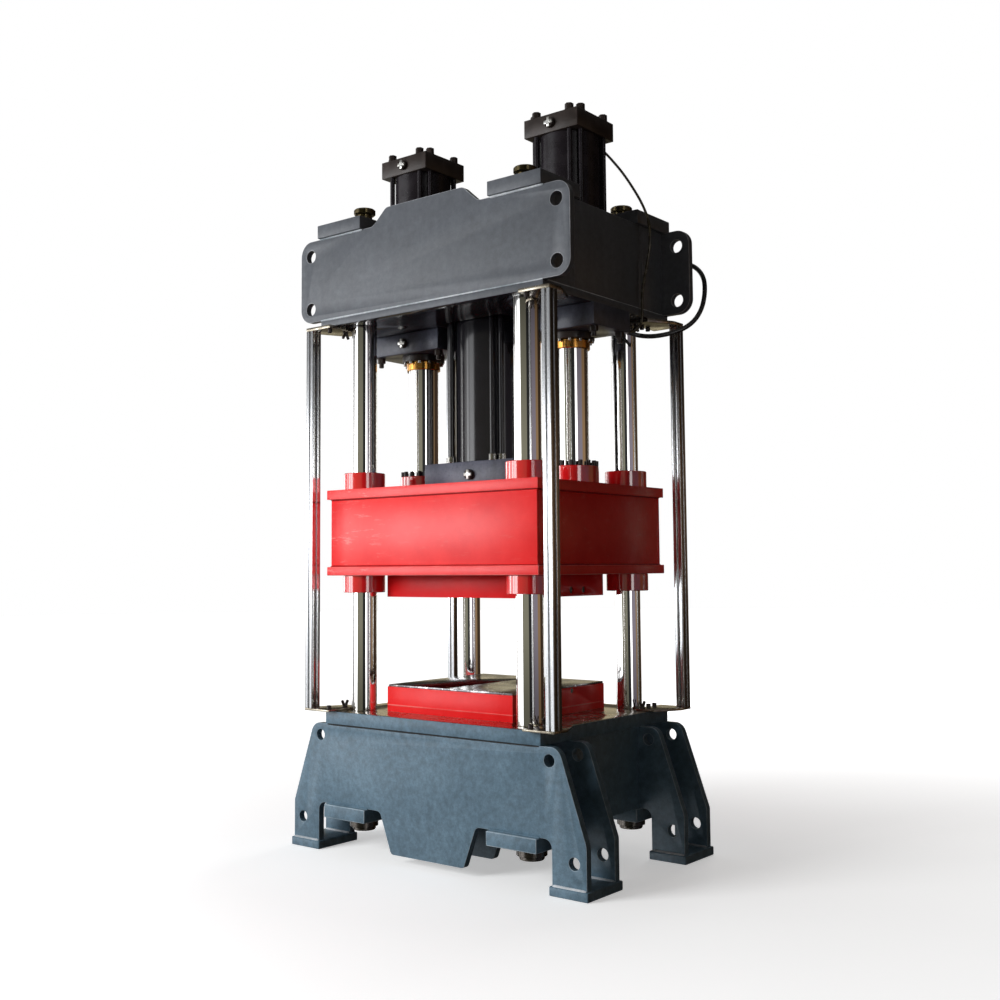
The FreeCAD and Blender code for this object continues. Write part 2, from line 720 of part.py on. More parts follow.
keep("middle_tie_rods", middle_rods)
middle_front = middle_reach + " + middle_flange_margin"
keep("middle_port_fitting", [front_bar(
    "middle_port_fitting", "port_radius", "0",
    (f"-({middle_front}) - port_height", f"-({middle_front})"),
    platen_top + " + middle_flange_height / 2")])

# Hose from the right flange's rear face round to an elbow on the crown's rear plate.
# Each list gives the points of a route, with a round turn inside every corner.
hose_points = [
    (700, 212, 2968),
    (700, 268, 2968),
    (712, 326, 2954),
    (750, 384, 2934),
    (812, 428, 2926),
    (872, 470, 2934),
    (925, 518, 2952),
    (972, 566, 2982),
    (1008, 610, 3030),
    (1030, 645, 3098),
    (1039, 663, 3174),
    (1038, 669, 3250),
    (1023, 669, 3298),
    (994, 668, 3338),
    (954, 667, 3367),
    (907, 666, 3382),
    (858, 666, 3382),
]
# Cable from the right cap's rear face down the end of the crown to the right flange.
cable_points = [
    (560, 206, 4070),
    (560, 250, 4070),
    (575, 289, 4053),
    (600, 311, 4024),
    (652, 312, 3962),
    (728, 290, 3874),
    (803, 268, 3772),
    (870, 262, 3662),
    (916, 262, 3548),
    (921, 262, 3425),
    (899, 262, 3310),
    (867, 268, 3205),
    (848, 281, 3112),
    (840, 294, 3052),
    (833, 303, 3004),
    (826, 292, 2967),
    (816, 267, 2939),
    (808, 233, 2924),
    (808, 195, 2924),
]


def tube(label, points, radius):
    """A round cord whose middle line is straight runs joined by round turns."""
    route = [FreeCAD.Vector(*point) for point in points]
    edges = []
    reached = route[0]
    radii = []
    for before, corner, after in zip(route, route[1:], route[2:]):
        back = (before - corner).normalize()
        on = (after - corner).normalize()
        half_turn = (math.pi - back.getAngle(on)) / 2
        inset = 0.45 * min((before - corner).Length, (after - corner).Length)
        radii.append(inset / math.tan(half_turn))
        start = corner + back * inset
        end = corner + on * inset
        centre = corner + (back + on).normalize() * (radii[-1] / math.cos(half_turn))
        middle = centre + (corner - centre).normalize() * radii[-1]
        edges.append(Part.LineSegment(reached, start).toShape())
        edges.append(Part.Arc(start, middle, end).toShape())
        reached = end
    edges.append(Part.LineSegment(reached, route[-1]).toShape())
    path = Part.Wire(edges)
    section = Part.Wire(Part.Circle(route[0], route[1] - route[0], radius).toShape())
    solid = path.makePipeShell([section], True, False)
    thing = doc.addObject("Part::Feature", label)
    thing.Shape = solid
    print(label, "radii", [round(bend) for bend in radii], "length", round(path.Length, 1),
          "volume ratio", round(solid.Volume / (path.Length * math.pi * radius ** 2), 4))
    keep(label, [thing])


tube("hose_loop", hose_points, sizes["hose_radius"])
tube("sensor_cable", cable_points, sizes["cable_radius"])

# Fittings that the hose ends in: one on the flange, and an elbow on the crown's rear plate
hose_start, hose_end = hose_points[0], hose_points[-1]
hose_x, hose_y, hose_z = hose_end
elbow_x = f"{hose_x} - hose_ferrule_length"
elbow_boss = front_bar("hose_elbow_boss", "hose_elbow_radius", elbow_x,
                       (crown_half_y, f"{hose_y} + hose_elbow_radius"), f"{hose_z}")
elbow_ferrule = end_bar("hose_elbow_ferrule", "hose_ferrule_radius", 1, f"{hose_x}",
                         "hose_ferrule_length", f"{hose_y}", f"{hose_z}")
keep("hose_fittings", [
    front_bar("hose_flange_fitting", "hose_fitting_radius", f"{hose_start[0]}",
              (cap_half, f"{hose_start[1]}"), f"{hose_start[2]}"),
    joined("hose_elbow", [elbow_boss, elbow_ferrule])])

# Sockets that the cable ends in
keep("cable_sockets", [
    front_bar(f"cable_socket_{number}", "cable_socket_radius", f"{x}", (cap_half, f"{y}"), f"{z}")
    for number, (x, y, z) in enumerate((cable_points[0], cable_points[-1]))])

doc.recompute()
failed = [thing.Name for thing in doc.Objects
          if "Invalid" in thing.State or "Error" in thing.State]
for part in finished:
    if part.Shape.isNull() or not part.Shape.isValid():
        failed.append(part.Label)
if failed:
    raise SystemExit("failed: " + ", ".join(failed))

os.makedirs("parts", exist_ok=True)
for part in finished:
    part.Shape.exportStep(f"parts/{part.Label}.step")
print(len(finished), "sub-parts written")
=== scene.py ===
import math

import bmesh
import bpy
from mathutils import Matrix, Vector


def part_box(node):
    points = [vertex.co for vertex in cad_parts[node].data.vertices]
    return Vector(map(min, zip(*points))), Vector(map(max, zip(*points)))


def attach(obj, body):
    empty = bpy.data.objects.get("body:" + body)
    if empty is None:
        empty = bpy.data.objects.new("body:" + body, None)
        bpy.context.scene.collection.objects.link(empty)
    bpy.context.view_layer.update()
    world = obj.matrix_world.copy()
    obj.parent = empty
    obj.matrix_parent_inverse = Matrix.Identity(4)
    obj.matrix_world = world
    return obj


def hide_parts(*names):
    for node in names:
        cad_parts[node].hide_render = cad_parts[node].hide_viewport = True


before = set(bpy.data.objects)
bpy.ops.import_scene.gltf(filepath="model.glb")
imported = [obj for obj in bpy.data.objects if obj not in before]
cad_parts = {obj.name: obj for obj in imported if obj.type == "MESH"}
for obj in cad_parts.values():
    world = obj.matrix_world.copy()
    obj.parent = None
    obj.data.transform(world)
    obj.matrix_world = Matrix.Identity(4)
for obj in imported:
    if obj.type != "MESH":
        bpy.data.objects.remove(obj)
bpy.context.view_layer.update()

# Viewpoint. The press is seen from in front of its right-hand corner by someone who stands a few
# steps away and looks slightly up at it, with a lens that takes in the whole height.
yaw, pitch, roll = (math.radians(angle) for angle in (38.93, 4.43, -0.39))
ahead = Vector((-math.sin(yaw) * math.cos(pitch), math.cos(yaw) * math.cos(pitch),
                math.sin(pitch)))
level = Vector((math.cos(yaw), math.sin(yaw), 0))
above = level.cross(ahead)
across = level * math.cos(roll) + above * math.sin(roll)
upright = above * math.cos(roll) - level * math.sin(roll)
viewpoint = bpy.data.objects.new("viewpoint", bpy.data.cameras.new("viewpoint"))
turn = Matrix((across, upright, -ahead)).transposed().to_4x4()
viewpoint.matrix_world = Matrix.Translation((4.37906, -5.5453, 1.6)) @ turn
viewpoint.data.sensor_width = 36
viewpoint.data.lens = 43.564
viewpoint.data.shift_x = 0.01838
viewpoint.data.shift_y = -0.02504
bpy.context.scene.collection.objects.link(viewpoint)
bpy.context.scene.camera = viewpoint


# Studio. A pale floor under a room that is bright on the left, where its windows are, and dim and
# brown on the right, so that chrome and gloss paint have something to show.
def wired(tree, kind, inputs=None, **settings):
    """Adds a node, sets its fields, and fills its sockets with values or with other sockets."""
    node = tree.nodes.new(kind)
    for field, setting in settings.items():
        setattr(node, field, setting)
    for socket, value in (inputs or {}).items():
        if isinstance(value, bpy.types.NodeSocket):
            tree.links.new(value, node.inputs[socket])
        else:
            node.inputs[socket].default_value = value
    return node


def ramp(tree, factor, stops, interpolation="LINEAR"):
    """A colour ramp with a stop for each (position, colour)."""
    node = wired(tree, "ShaderNodeValToRGB", {"Fac": factor})
    node.color_ramp.interpolation = interpolation
    points = node.color_ramp.elements
    while len(points) < len(stops):
        points.new(0.5)
    for point, (position, colour) in zip(points, stops):
        point.position = position
        point.color = (*colour, 1)
    return node.outputs["Color"]


studio = bpy.data.worlds.new("studio")
bpy.context.scene.world = studio
studio.use_nodes = True
studio.node_tree.nodes.clear()
room = studio.node_tree
toward = wired(room, "ShaderNodeSeparateXYZ",
               {"Vector": wired(room, "ShaderNodeTexCoord").outputs["Generated"]}).outputs
heading = wired(room, "ShaderNodeMath", {0: toward["Y"], 1: toward["X"]}, operation="ARCTAN2")
share = wired(room, "ShaderNodeMapRange", {"Value": heading.outputs[0], "From Min": -math.pi,
                                           "From Max": math.pi}).outputs[0]


def by_heading(stops):
    """A colour that changes with the compass heading, from stops of (degrees, colour)."""
    return ramp(room, share, [((degrees + 180) / 360, colour) for degrees, colour in stops])


# What chrome and gloss paint show of the room, wall by wall, and how it fades up and down.
white = (1.3, 1.3, 1.3)
beside_window = (2.2, 2.2, 2.2)
side_window = (6.5, 6.6, 6.7)
main_window = (5.0, 5.1, 5.2)
olive = (0.25, 0.24, 0.18)
doorway = (0.03, 0.03, 0.03)
violet = (0.25, 0.22, 0.26)
cream = (0.7, 0.62, 0.42)
brown = (0.30, 0.19, 0.10)
walls = by_heading([
    (-180, white), (-157, white), (-155, (2.0, 2.0, 2.0)), (-141, (2.0, 2.0, 2.0)),
    (-140, side_window), (-134.5, side_window), (-133, beside_window), (-130.5, beside_window),
    (-129, main_window), (-116, main_window), (-112, olive), (-62, olive), (-58, doorway),
    (-38, doorway), (-18, violet), (14, violet), (20, brown), (42, brown),
    (46, (0.045, 0.028, 0.017)), (100, (0.07, 0.042, 0.026)), (108, (0.05, 0.04, 0.03)),
    (116, cream), (138, cream), (146, white), (180, white)])
dark, tube, gleam = (0, 0, 0), (7, 7, 7), (3, 3, 3)
strips = by_heading([
    (-163.5, dark), (-163, tube), (-158, tube), (-157.5, dark), (-37, dark), (-34, gleam),
    (-23, gleam), (-20, dark), (164.5, dark), (165, tube), (170, tube), (170.5, dark)])
lowest, highest = -0.25, 0.45
rise = wired(room, "ShaderNodeMapRange", {"Value": toward["Z"], "From Min": lowest,
                                          "From Max": highest}).outputs[0]
fading = ramp(room, rise, [((sine - lowest) / (highest - lowest), (part,) * 3)
                           for sine, part in (
    (-0.25, 0.22), (-0.168, 0.3), (-0.105, 0.5), (-0.05, 1.0), (0.11, 1.0), (0.2, 0.45),
    (0.235, 0.16), (0.33, 0.08), (0.45, 0.06))])
bright = wired(room, "ShaderNodeMix", {"Factor": 1.0, "A": walls, "B": strips},
               data_type="RGBA", blend_type="ADD").outputs[2]
glowing = wired(room, "ShaderNodeMix", {"Factor": 1.0, "A": bright, "B": fading},
                data_type="RGBA", blend_type="MULTIPLY").outputs[2]
ceiling = ramp(room, toward["Z"], [(0.0, dark), (highest, dark), (0.9, (1, 1, 1))])
lit = wired(room, "ShaderNodeMix", {"Factor": ceiling, "A": glowing,
                                    "B": (0.32, 0.31, 0.30, 1)}, data_type="RGBA").outputs[2]
room_light = wired(room, "ShaderNodeBackground", {"Color": lit, "Strength": 1.0})
sideways = wired(room, "ShaderNodeMapRange", {"Value": toward["X"], "From Min": -1.0,
                                              "From Max": 1.0}).outputs[0]
soft_light = wired(room, "ShaderNodeBackground", {"Strength": 1.0, "Color": ramp(room, sideways, [
    (0.0, (0.32, 0.32, 0.33)), (0.5, (0.14, 0.135, 0.13)), (0.75, (0.048, 0.034, 0.024)),
    (1.0, (0.036, 0.025, 0.016))])})
light_path = wired(room, "ShaderNodeLightPath").outputs
either = wired(room, "ShaderNodeMixShader", {0: light_path["Is Diffuse Ray"],
                                             1: room_light.outputs[0], 2: soft_light.outputs[0]})
backdrop = wired(room, "ShaderNodeBackground", {"Color": (1, 1, 1, 1), "Strength": 1.0})
seen = wired(room, "ShaderNodeMixShader", {
    0: light_path["Is Camera Ray"], 1: either.outputs[0], 2: backdrop.outputs[0]})
wired(room, "ShaderNodeOutputWorld", {"Surface": seen.outputs[0]})
bpy.context.scene.view_settings.view_transform = "Standard"


def area_light(name, place, target, size, power, colour=(1, 1, 1)):
    """A soft square light that faces a point."""
    light = bpy.data.lights.new(name, "AREA")
    light.size = size
    light.energy = power
    light.color = colour
    lamp = bpy.data.objects.new(name, light)
    aim = (Vector(target) - Vector(place)).to_track_quat("-Z", "Y")
    lamp.matrix_world = Matrix.Translation(place) @ aim.to_matrix().to_4x4()
    lamp.visible_glossy = False
    bpy.context.scene.collection.objects.link(lamp)


platen_height = (0, 0, 1.9)
area_light("window_light", (-3.7, -8.0, 4.0), platen_height, 4.0, 700, (0.97, 0.99, 1.0))
area_light("back_light", (-1.5, 8.5, 3.5), platen_height, 4.0, 220)


def new_finish(name):
    """A material's tree with its shader, and the place on the object that patterns read."""
    material = bpy.data.materials.new(name)
    material.use_nodes = True
    tree = material.node_tree
    shader = tree.nodes["Principled BSDF"]
    return material, tree, shader, wired(tree, "ShaderNodeTexCoord").outputs["Object"]


def speckle(tree, place, scale, detail=3, stretch=(1, 1, 1), roughness=0.5):
    """Noise of so many spots to the metre, drawn out along an axis by a small stretch."""
    drawn = wired(tree, "ShaderNodeMapping", {"Vector": place, "Scale": stretch})
    return wired(tree, "ShaderNodeTexNoise", {"Vector": drawn.outputs[0], "Scale": scale,
                                              "Detail": detail, "Roughness": roughness}).outputs[0]


def mixed(tree, factor, first, second, blend_type="MIX"):
    """One colour laid over another by a factor."""
    return wired(tree, "ShaderNodeMix", {"Factor": factor, "A": first, "B": second},
                 data_type="RGBA", blend_type=blend_type).outputs[2]


def between(tree, factor, low, high, start=0.35, end=0.65):
    """A number that goes from low to high as the noise goes from start to end."""
    return wired(tree, "ShaderNodeMapRange", {"Value": factor, "From Min": start, "From Max": end,
                                              "To Min": low, "To Max": high}).outputs[0]


def relief(tree, shader, height, strength, distance=0.001):
    """Puts a bump on a shader, on top of any that it has."""
    bump = wired(tree, "ShaderNodeBump", {"Height": height, "Strength": strength,
                                          "Distance": distance})
    if shader.inputs["Normal"].is_linked:
        tree.links.new(shader.inputs["Normal"].links[0].from_socket, bump.inputs["Normal"])
    tree.links.new(bump.outputs[0], shader.inputs["Normal"])


floor_paint, tree, shader, place = new_finish("floor_paint")
shader.inputs["Base Color"].default_value = (0.9, 0.9, 0.9, 1)
shader.inputs["Emission Color"].default_value = (1, 1, 1, 1)
away = wired(tree, "ShaderNodeVectorMath", {0: place}, operation="LENGTH").outputs["Value"]
tree.links.new(between(tree, away, 0.42, 1.0, 1.5, 9.0), shader.inputs["Emission Strength"])
tree.links.new(between(tree, speckle(tree, place, 0.8), 0.75, 0.9), shader.inputs["Roughness"])
floor_shape = bmesh.new()
bmesh.ops.create_circle(floor_shape, cap_ends=True, segments=96, radius=40)
floor_mesh = bpy.data.meshes.new("studio_floor")
floor_shape.to_mesh(floor_mesh)
floor_mesh.materials.append(floor_paint)
studio_floor = bpy.data.objects.new("studio_floor", floor_mesh)
studio_floor.visible_glossy = False
studio_floor.visible_diffuse = False
bpy.context.scene.collection.objects.link(studio_floor)


# Base plates. Four thick steel plates, flame-cut to one profile with legs and lug holes, welded on
# edge to four foot pads and painted slate grey. Their edges are ground round by hand.
def slate_paint(name, dark, light, sheen=0.4, mottle=0.5):
    """Satin machine enamel, rolled on, with cloudy patches, faint runs and a grain of dust."""
    material, tree, shader, place = new_finish(name)
    clouds = speckle(tree, place, 3.2, 8, roughness=0.72)
    runs = speckle(tree, place, 13, 5, (1, 1, 0.3), 0.6)
    sponge = speckle(tree, place, 26, 6, roughness=0.8)
    grain = speckle(tree, place, 90, 3, roughness=0.7)
    base = ramp(tree, clouds, [(0.34, dark), (0.66, light)])
    streaks = ramp(tree, runs, [(0.38, (0.46, 0.46, 0.46)), (0.64, (0.55, 0.55, 0.55))])
    dabs = ramp(tree, sponge, [(0.38, (0.38, 0.38, 0.38)), (0.64, (0.66, 0.66, 0.66))])
    streaky = mixed(tree, 0.6, base, streaks, "OVERLAY")
    tree.links.new(mixed(tree, mottle, streaky, dabs, "OVERLAY"), shader.inputs["Base Color"])
    tree.links.new(between(tree, grain, sheen * 0.8, sheen * 1.2), shader.inputs["Roughness"])
    relief(tree, shader, speckle(tree, place, 420, 2), 0.12, 0.0006)
    return material


base_paint = slate_paint("base_paint", (0.074, 0.128, 0.174), (0.112, 0.184, 0.242), mottle=0.85)
# The rims take a paler tone, partly wear and partly a painted highlight along the rounded edges.
base_edge_wear_and_highlight = slate_paint("base_edge_wear_and_highlight", (0.15, 0.22, 0.27), (0.40, 0.48, 0.54))
# The welds are paler than the paint around them as a painted highlight on the beads.
weld_grey_highlight = slate_paint("weld_grey_highlight", (0.20, 0.24, 0.27), (0.75, 0.77, 0.80))


def node_shape(node):
    """A CAD node's shape with its triangles merged into whole faces."""
    bm = bmesh.new()
    bm.from_mesh(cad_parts[node].data)
    bmesh.ops.remove_doubles(bm, verts=bm.verts, dist=2e-5)
    bmesh.ops.dissolve_limit(bm, angle_limit=math.radians(0.5), verts=bm.verts, edges=bm.edges)
    return bm


largest_curved_face = 0.0004


def eased(bm, width, segments=2, sharper_than=35, paled=False):
    """Rounds sharp edges; the flag gives them the second material: wear and painted highlight."""
    limit = math.radians(sharper_than)
    sharp = [edge for edge in bm.edges if edge.is_manifold and edge.calc_face_angle() > limit]
    rounded = bmesh.ops.bevel(bm, geom=sharp, offset=width, offset_type="OFFSET",
                              segments=segments, profile=0.5, affect="EDGES", material=-1,
                              clamp_overlap=True)["faces"]
    for face in bm.faces:
        face.smooth = face.calc_area() < largest_curved_face
    for face in rounded:
        face.material_index = int(paled)
        face.smooth = True
    return bm


def made(name, bm, body, slot, material, *nodes, second=None):
    """Turns a shape into a finished piece that rides on a body and may stand for CAD nodes."""
    bmesh.ops.remove_doubles(bm, verts=bm.verts, dist=2e-6)
    bmesh.ops.recalc_face_normals(bm, faces=bm.faces)
    mesh = bpy.data.meshes.new(name)
    bm.to_mesh(mesh)
    bm.free()
    mesh.set_sharp_from_angle(angle=math.radians(32))
    mesh.materials.append(material)
    if second:
        mesh.materials.append(second)
    piece = bpy.data.objects.new(name, mesh)
    bpy.context.scene.collection.objects.link(piece)
    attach(piece, body)
    if nodes:
        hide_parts(*nodes)
    return piece


def repeated(bm, part, places):
    """Adds a small shape to a bigger one at each place, and lets go of it."""
    mesh = bpy.data.meshes.new("part")
    part.to_mesh(mesh)
    part.free()
    for place in places:
        mesh.transform(place)
        bm.from_mesh(mesh)
        mesh.transform(place.inverted())
    bpy.data.meshes.remove(mesh)
    return bm


def weld_bead(bm, start, end, leg=0.007, pitch=0.009):
    """Lays a rippled bead of weld from one point to another."""
    run = Vector(end) - Vector(start)
    rings = max(2, int(run.length / pitch))
    bead = bmesh.new()
    bmesh.ops.create_circle(bead, segments=8, radius=leg * 0.6)
    edges = bead.edges[:]
    swell = (1.6, 0.92, 1.08)
    for ring in range(rings):
        grown = bmesh.ops.extrude_edge_only(bead, edges=edges)["geom"]
        verts = [item for item in grown if isinstance(item, bmesh.types.BMVert)]
        edges = [item for item in grown if isinstance(item, bmesh.types.BMEdge)]
        bmesh.ops.translate(bead, vec=(0, 0, run.length / rings), verts=verts)
        factor = swell[0] if ring == 0 else swell[1 + ring % 2]
        factor = 0.6 if ring == rings - 1 else factor
        bmesh.ops.scale(bead, vec=(factor, factor, 1), verts=verts)
    bmesh.ops.holes_fill(bead, edges=bead.edges, sides=8)
    for face in bead.faces:
        face.smooth = True
    aim = run.to_track_quat("Z", "Y").to_matrix().to_4x4()
    return repeated(bm, bead, [Matrix.Translation(start) @ aim])


for node in ("base_front_plate", "base_inner_plates", "base_rear_plate"):
    made(node + "_cut", eased(node_shape(node), 0.0035, 3, paled=True), "frame", "grey_paint",
         base_paint, node, second=base_edge_wear_and_highlight)
made("foot_pads_ground", eased(node_shape("foot_pads"), 0.006, 3), "frame", "grey_paint",
     base_paint, "foot_pads")
foot_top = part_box("foot_pads")[1].z
leg_width = 0.206
leg_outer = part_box("base_front_plate")[1].x
leg_inner = leg_outer - leg_width
plate_thickness = 0.04
plate_faces = []
for node in ("base_front_plate", "base_rear_plate"):
    plate_faces += [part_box(node)[0].y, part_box(node)[1].y]
inner_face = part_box("base_inner_plates")[1].y
plate_faces += [inner_face, inner_face - plate_thickness, plate_thickness - inner_face,
                -inner_face]
beads = bmesh.new()
for y in plate_faces:
    for sign in (-1, 1):
        weld_bead(beads, (sign * (leg_inner + 0.004), y, foot_top),
                  (sign * (leg_outer - 0.004), y, foot_top), 0.009)
made("foot_welds", beads, "frame", "grey_paint", weld_grey_highlight)

# Column blocks of the base. Thick bars let into the notches of the plates, with the column ends
# held beneath by round nuts of bare oiled steel.
block_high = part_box("lower_column_blocks")[1]
block_width = 0.32
blocks = eased(node_shape("lower_column_blocks"), 0.005, 3, paled=True)
for sign in (-1, 1):
    for y in plate_faces:
        x = sign * (block_high.x - block_width), sign * block_high.x
        weld_bead(blocks, (x[0], y, block_high.z), (x[1], y, block_high.z), 0.008)
made("lower_blocks_welded", blocks, "frame", "grey_paint", base_paint, "lower_column_blocks",
     second=base_edge_wear_and_highlight)
made("base_ends_fitted", eased(node_shape("base_end_panels"), 0.002), "frame", "grey_paint",
     base_paint, "base_end_panels")


def turned(outline, steps=64, closed=False):
    """A turned shape from its outline of (radius, height) points, spun about Z."""
    bm = bmesh.new()
    points = [bm.verts.new((radius, 0, height)) for radius, height in outline]
    edges = [bm.edges.new(pair) for pair in zip(points, points[1:])]
    if closed:
        edges.append(bm.edges.new((points[-1], points[0])))
    bmesh.ops.spin(bm, geom=points + edges, cent=(0, 0, 0), axis=(0, 0, 1), dvec=(0, 0, 0),
                   angle=2 * math.pi, steps=steps, use_merge=True, use_duplicate=False)
    bmesh.ops.remove_doubles(bm, verts=bm.verts, dist=1e-6)
    for face in bm.faces:
        face.smooth = True
    return bm


def round_bar(radius, low, high, ease=0.001, steps=64):
    """A solid round bar with both rims eased."""
    return turned([(0, low), (radius - ease, low), (radius, low + ease), (radius, high - ease),
                   (radius - ease, high), (0, high)], steps)


def round_tube(inside, outside, low, high, ease=0.002, steps=64):
    """A tube with its outer rims eased."""
    return turned([(inside, low), (outside - ease, low), (outside, low + ease),
                   (outside, high - ease), (outside - ease, high), (inside, high)], steps, True)


def worn_steel(name, colour, roughness, tint):
    """Bare machined steel, with turning marks across it and stains of oil."""
    material, tree, shader, place = new_finish(name)
    shader.inputs["Metallic"].default_value = 1
    stains = speckle(tree, place, 14, 5, roughness=0.7)
    marks = speckle(tree, place, 40, 2, (0.2, 0.2, 30))
    tree.links.new(ramp(tree, stains, [(0.35, colour), (0.68, tint)]), shader.inputs["Base Color"])
    tree.links.new(between(tree, stains, roughness * 0.7, roughness * 1.5),
                   shader.inputs["Roughness"])
    relief(tree, shader, marks, 0.15, 0.0006)
    return material


nut_steel = worn_steel("nut_steel", (0.17, 0.155, 0.14), 0.26, (0.08, 0.07, 0.06))
column_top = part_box("guide_columns")[1]
column_radius = 0.07325
column_x = column_top.x - column_radius
column_y = column_top.y - column_radius
columns = [Matrix.Translation((sx * column_x, sy * column_y, 0)) for sx in (-1, 1)
           for sy in (-1, 1)]
nut_low, nut_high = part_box("lower_column_nuts")
nut = turned([(0, nut_low.z), (0.062, nut_low.z), (0.066, nut_low.z + 0.006),
              (0.066, nut_low.z + 0.016), (0.08, nut_low.z + 0.022), (0.08, nut_high.z - 0.018),
              (0.072, nut_high.z - 0.014), (0.072, nut_high.z), (0, nut_high.z)])
made("lower_nuts_turned", repeated(bmesh.new(), nut, columns), "frame", "nut_steel", nut_steel,
     "lower_column_nuts")


# Bolster. One heavy plate on top of the base, painted round its edges and ground bare on top,
# where oil makes it shine.
def ground_steel(name, colour, tint, film=0.0):
    """Ground steel plate, with long grinding marks, smears of oil and a pale rubbed film."""
    material, tree, shader, place = new_finish(name)
    shader.inputs["Metallic"].default_value = 1
    smears = speckle(tree, place, 5, 6, roughness=0.7)
    lines = speckle(tree, place, 30, 2, (0.4, 22, 1))
    scratches = ramp(tree, speckle(tree, place, 22, 1, (14, 0.5, 1)),
                     [(0.0, (0, 0, 0)), (0.70, (0, 0, 0)), (0.74, (1, 1, 1))])
    rubbed = ramp(tree, speckle(tree, place, 9, 7, (1, 0.6, 1), 0.75),
                  [(0.0, (0, 0, 0)), (0.52, (0, 0, 0)), (0.62, (film,) * 3)])
    base = ramp(tree, smears, [(0.35, colour), (0.65, tint)])
    scratched = mixed(tree, scratches, base, (0.85, 0.86, 0.88, 1))
    tree.links.new(mixed(tree, rubbed, scratched, (0.88, 0.88, 0.89, 1)),
                   shader.inputs["Base Color"])
    tree.links.new(between(tree, smears, 0.18, 0.34), shader.inputs["Roughness"])
    relief(tree, shader, lines, 0.08, 0.0004)
    return material


bolster_steel = ground_steel("bolster_steel", (0.40, 0.34, 0.26), (0.62, 0.58, 0.48))
bolster = made("bolster_ground", eased(node_shape("bolster_plate"), 0.003), "frame",
               "bright_steel", base_paint, "bolster_plate", second=bolster_steel)
bolster_low, bolster_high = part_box("bolster_plate")
bolster_top = bolster_high.z
for face in bolster.data.polygons:
    if face.normal.z > 0.9 and face.center.z > bolster_top - 0.001:
        face.material_index = 1
# A black bead under the front and rear edges of the bolster is painted shade for the dark gap
# beneath it.
shadow_reach = 0.752
shadow_z = bolster_low.z - 0.003
shadow_line = bmesh.new()
for sign in (-1, 1):
    shadow_y = sign * (bolster_high.y - 0.004)
    weld_bead(shadow_line, (-shadow_reach, shadow_y, shadow_z), (shadow_reach, shadow_y, shadow_z), 0.0055, 0.03)
made("bolster_shadow_line", shadow_line, "frame", "black_finish",
     slate_paint("shadow_line_black", (0.004, 0.004, 0.004), (0.010, 0.010, 0.010)))


# Riser. A low welded box of red-painted plate with a bottom plate of its own, a lifting hole in
# each end with a black bar in it as painted shade, and a ground steel top with a slot milled from
# its front edge.
def red_enamel(name, dark, light, gloss=0.6, blur=0.25, depth=1.5, scuffed=0.0):
    """Red enamel over plate, with a faint mottle and, towards one end, pale rubbed scratches."""
    material, tree, shader, place = new_finish(name)
    shader.inputs["Coat Weight"].default_value = gloss
    shader.inputs["Coat Roughness"].default_value = blur
    shader.inputs["Coat IOR"].default_value = depth
    shader.inputs["Specular IOR Level"].default_value = 0.25
    clouds = speckle(tree, place, 4.5, 6, roughness=0.62)
    skin = speckle(tree, place, 60, 4, (1, 1, 0.35), 0.7)
    base = ramp(tree, clouds, [(0.3, dark), (0.7, light)])
    rubbed = ramp(tree, speckle(tree, place, 13, 8, (0.45, 1, 2.4), 0.8),
                  [(0.0, (0, 0, 0)), (0.56, (0, 0, 0)), (0.68, (scuffed,) * 3)])
    end = wired(tree, "ShaderNodeSeparateXYZ", {"Vector": place}).outputs["X"]
    toward_end = between(tree, end, 1.0, 0.12, -0.62, -0.22)
    paled = wired(tree, "ShaderNodeMath", {0: rubbed, 1: toward_end}, operation="MULTIPLY")
    tree.links.new(mixed(tree, paled.outputs[0], base, (0.95, 0.46, 0.42, 1)),
                   shader.inputs["Base Color"])
    tree.links.new(between(tree, skin, 0.34, 0.5), shader.inputs["Roughness"])
    relief(tree, shader, speckle(tree, place, 300, 2), 0.06, 0.0005)
    return material


riser_red = red_enamel("riser_red", (0.80, 0.006, 0.008), (0.92, 0.018, 0.020), gloss=0.4)
riser_low, riser_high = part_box("riser_box")
# The pale pink of the rims of riser and platen plates and of the riser welds is a painted
# highlight.
red_edge_highlight = red_enamel("red_edge_highlight", (0.86, 0.03, 0.03), (0.96, 0.22, 0.20), gloss=0.9)
riser_beads = bmesh.new()
riser_bottom_plate = 0.038
seam = riser_low.z + riser_bottom_plate
rim = [(riser_low.x, riser_low.y), (riser_high.x, riser_low.y), (riser_high.x, riser_high.y),
       (riser_low.x, riser_high.y)]
for (x0, y0), (x1, y1) in zip(rim, rim[1:] + rim[:1]):
    weld_bead(riser_beads, (x0, y0, seam), (x1, y1, seam), 0.004, 0.018)
made("riser_welded", eased(node_shape("riser_box"), 0.003, paled=True), "frame", "red_paint",
     riser_red, "riser_box", second=red_edge_highlight)
made("riser_welds", riser_beads, "frame", "red_paint", red_edge_highlight)
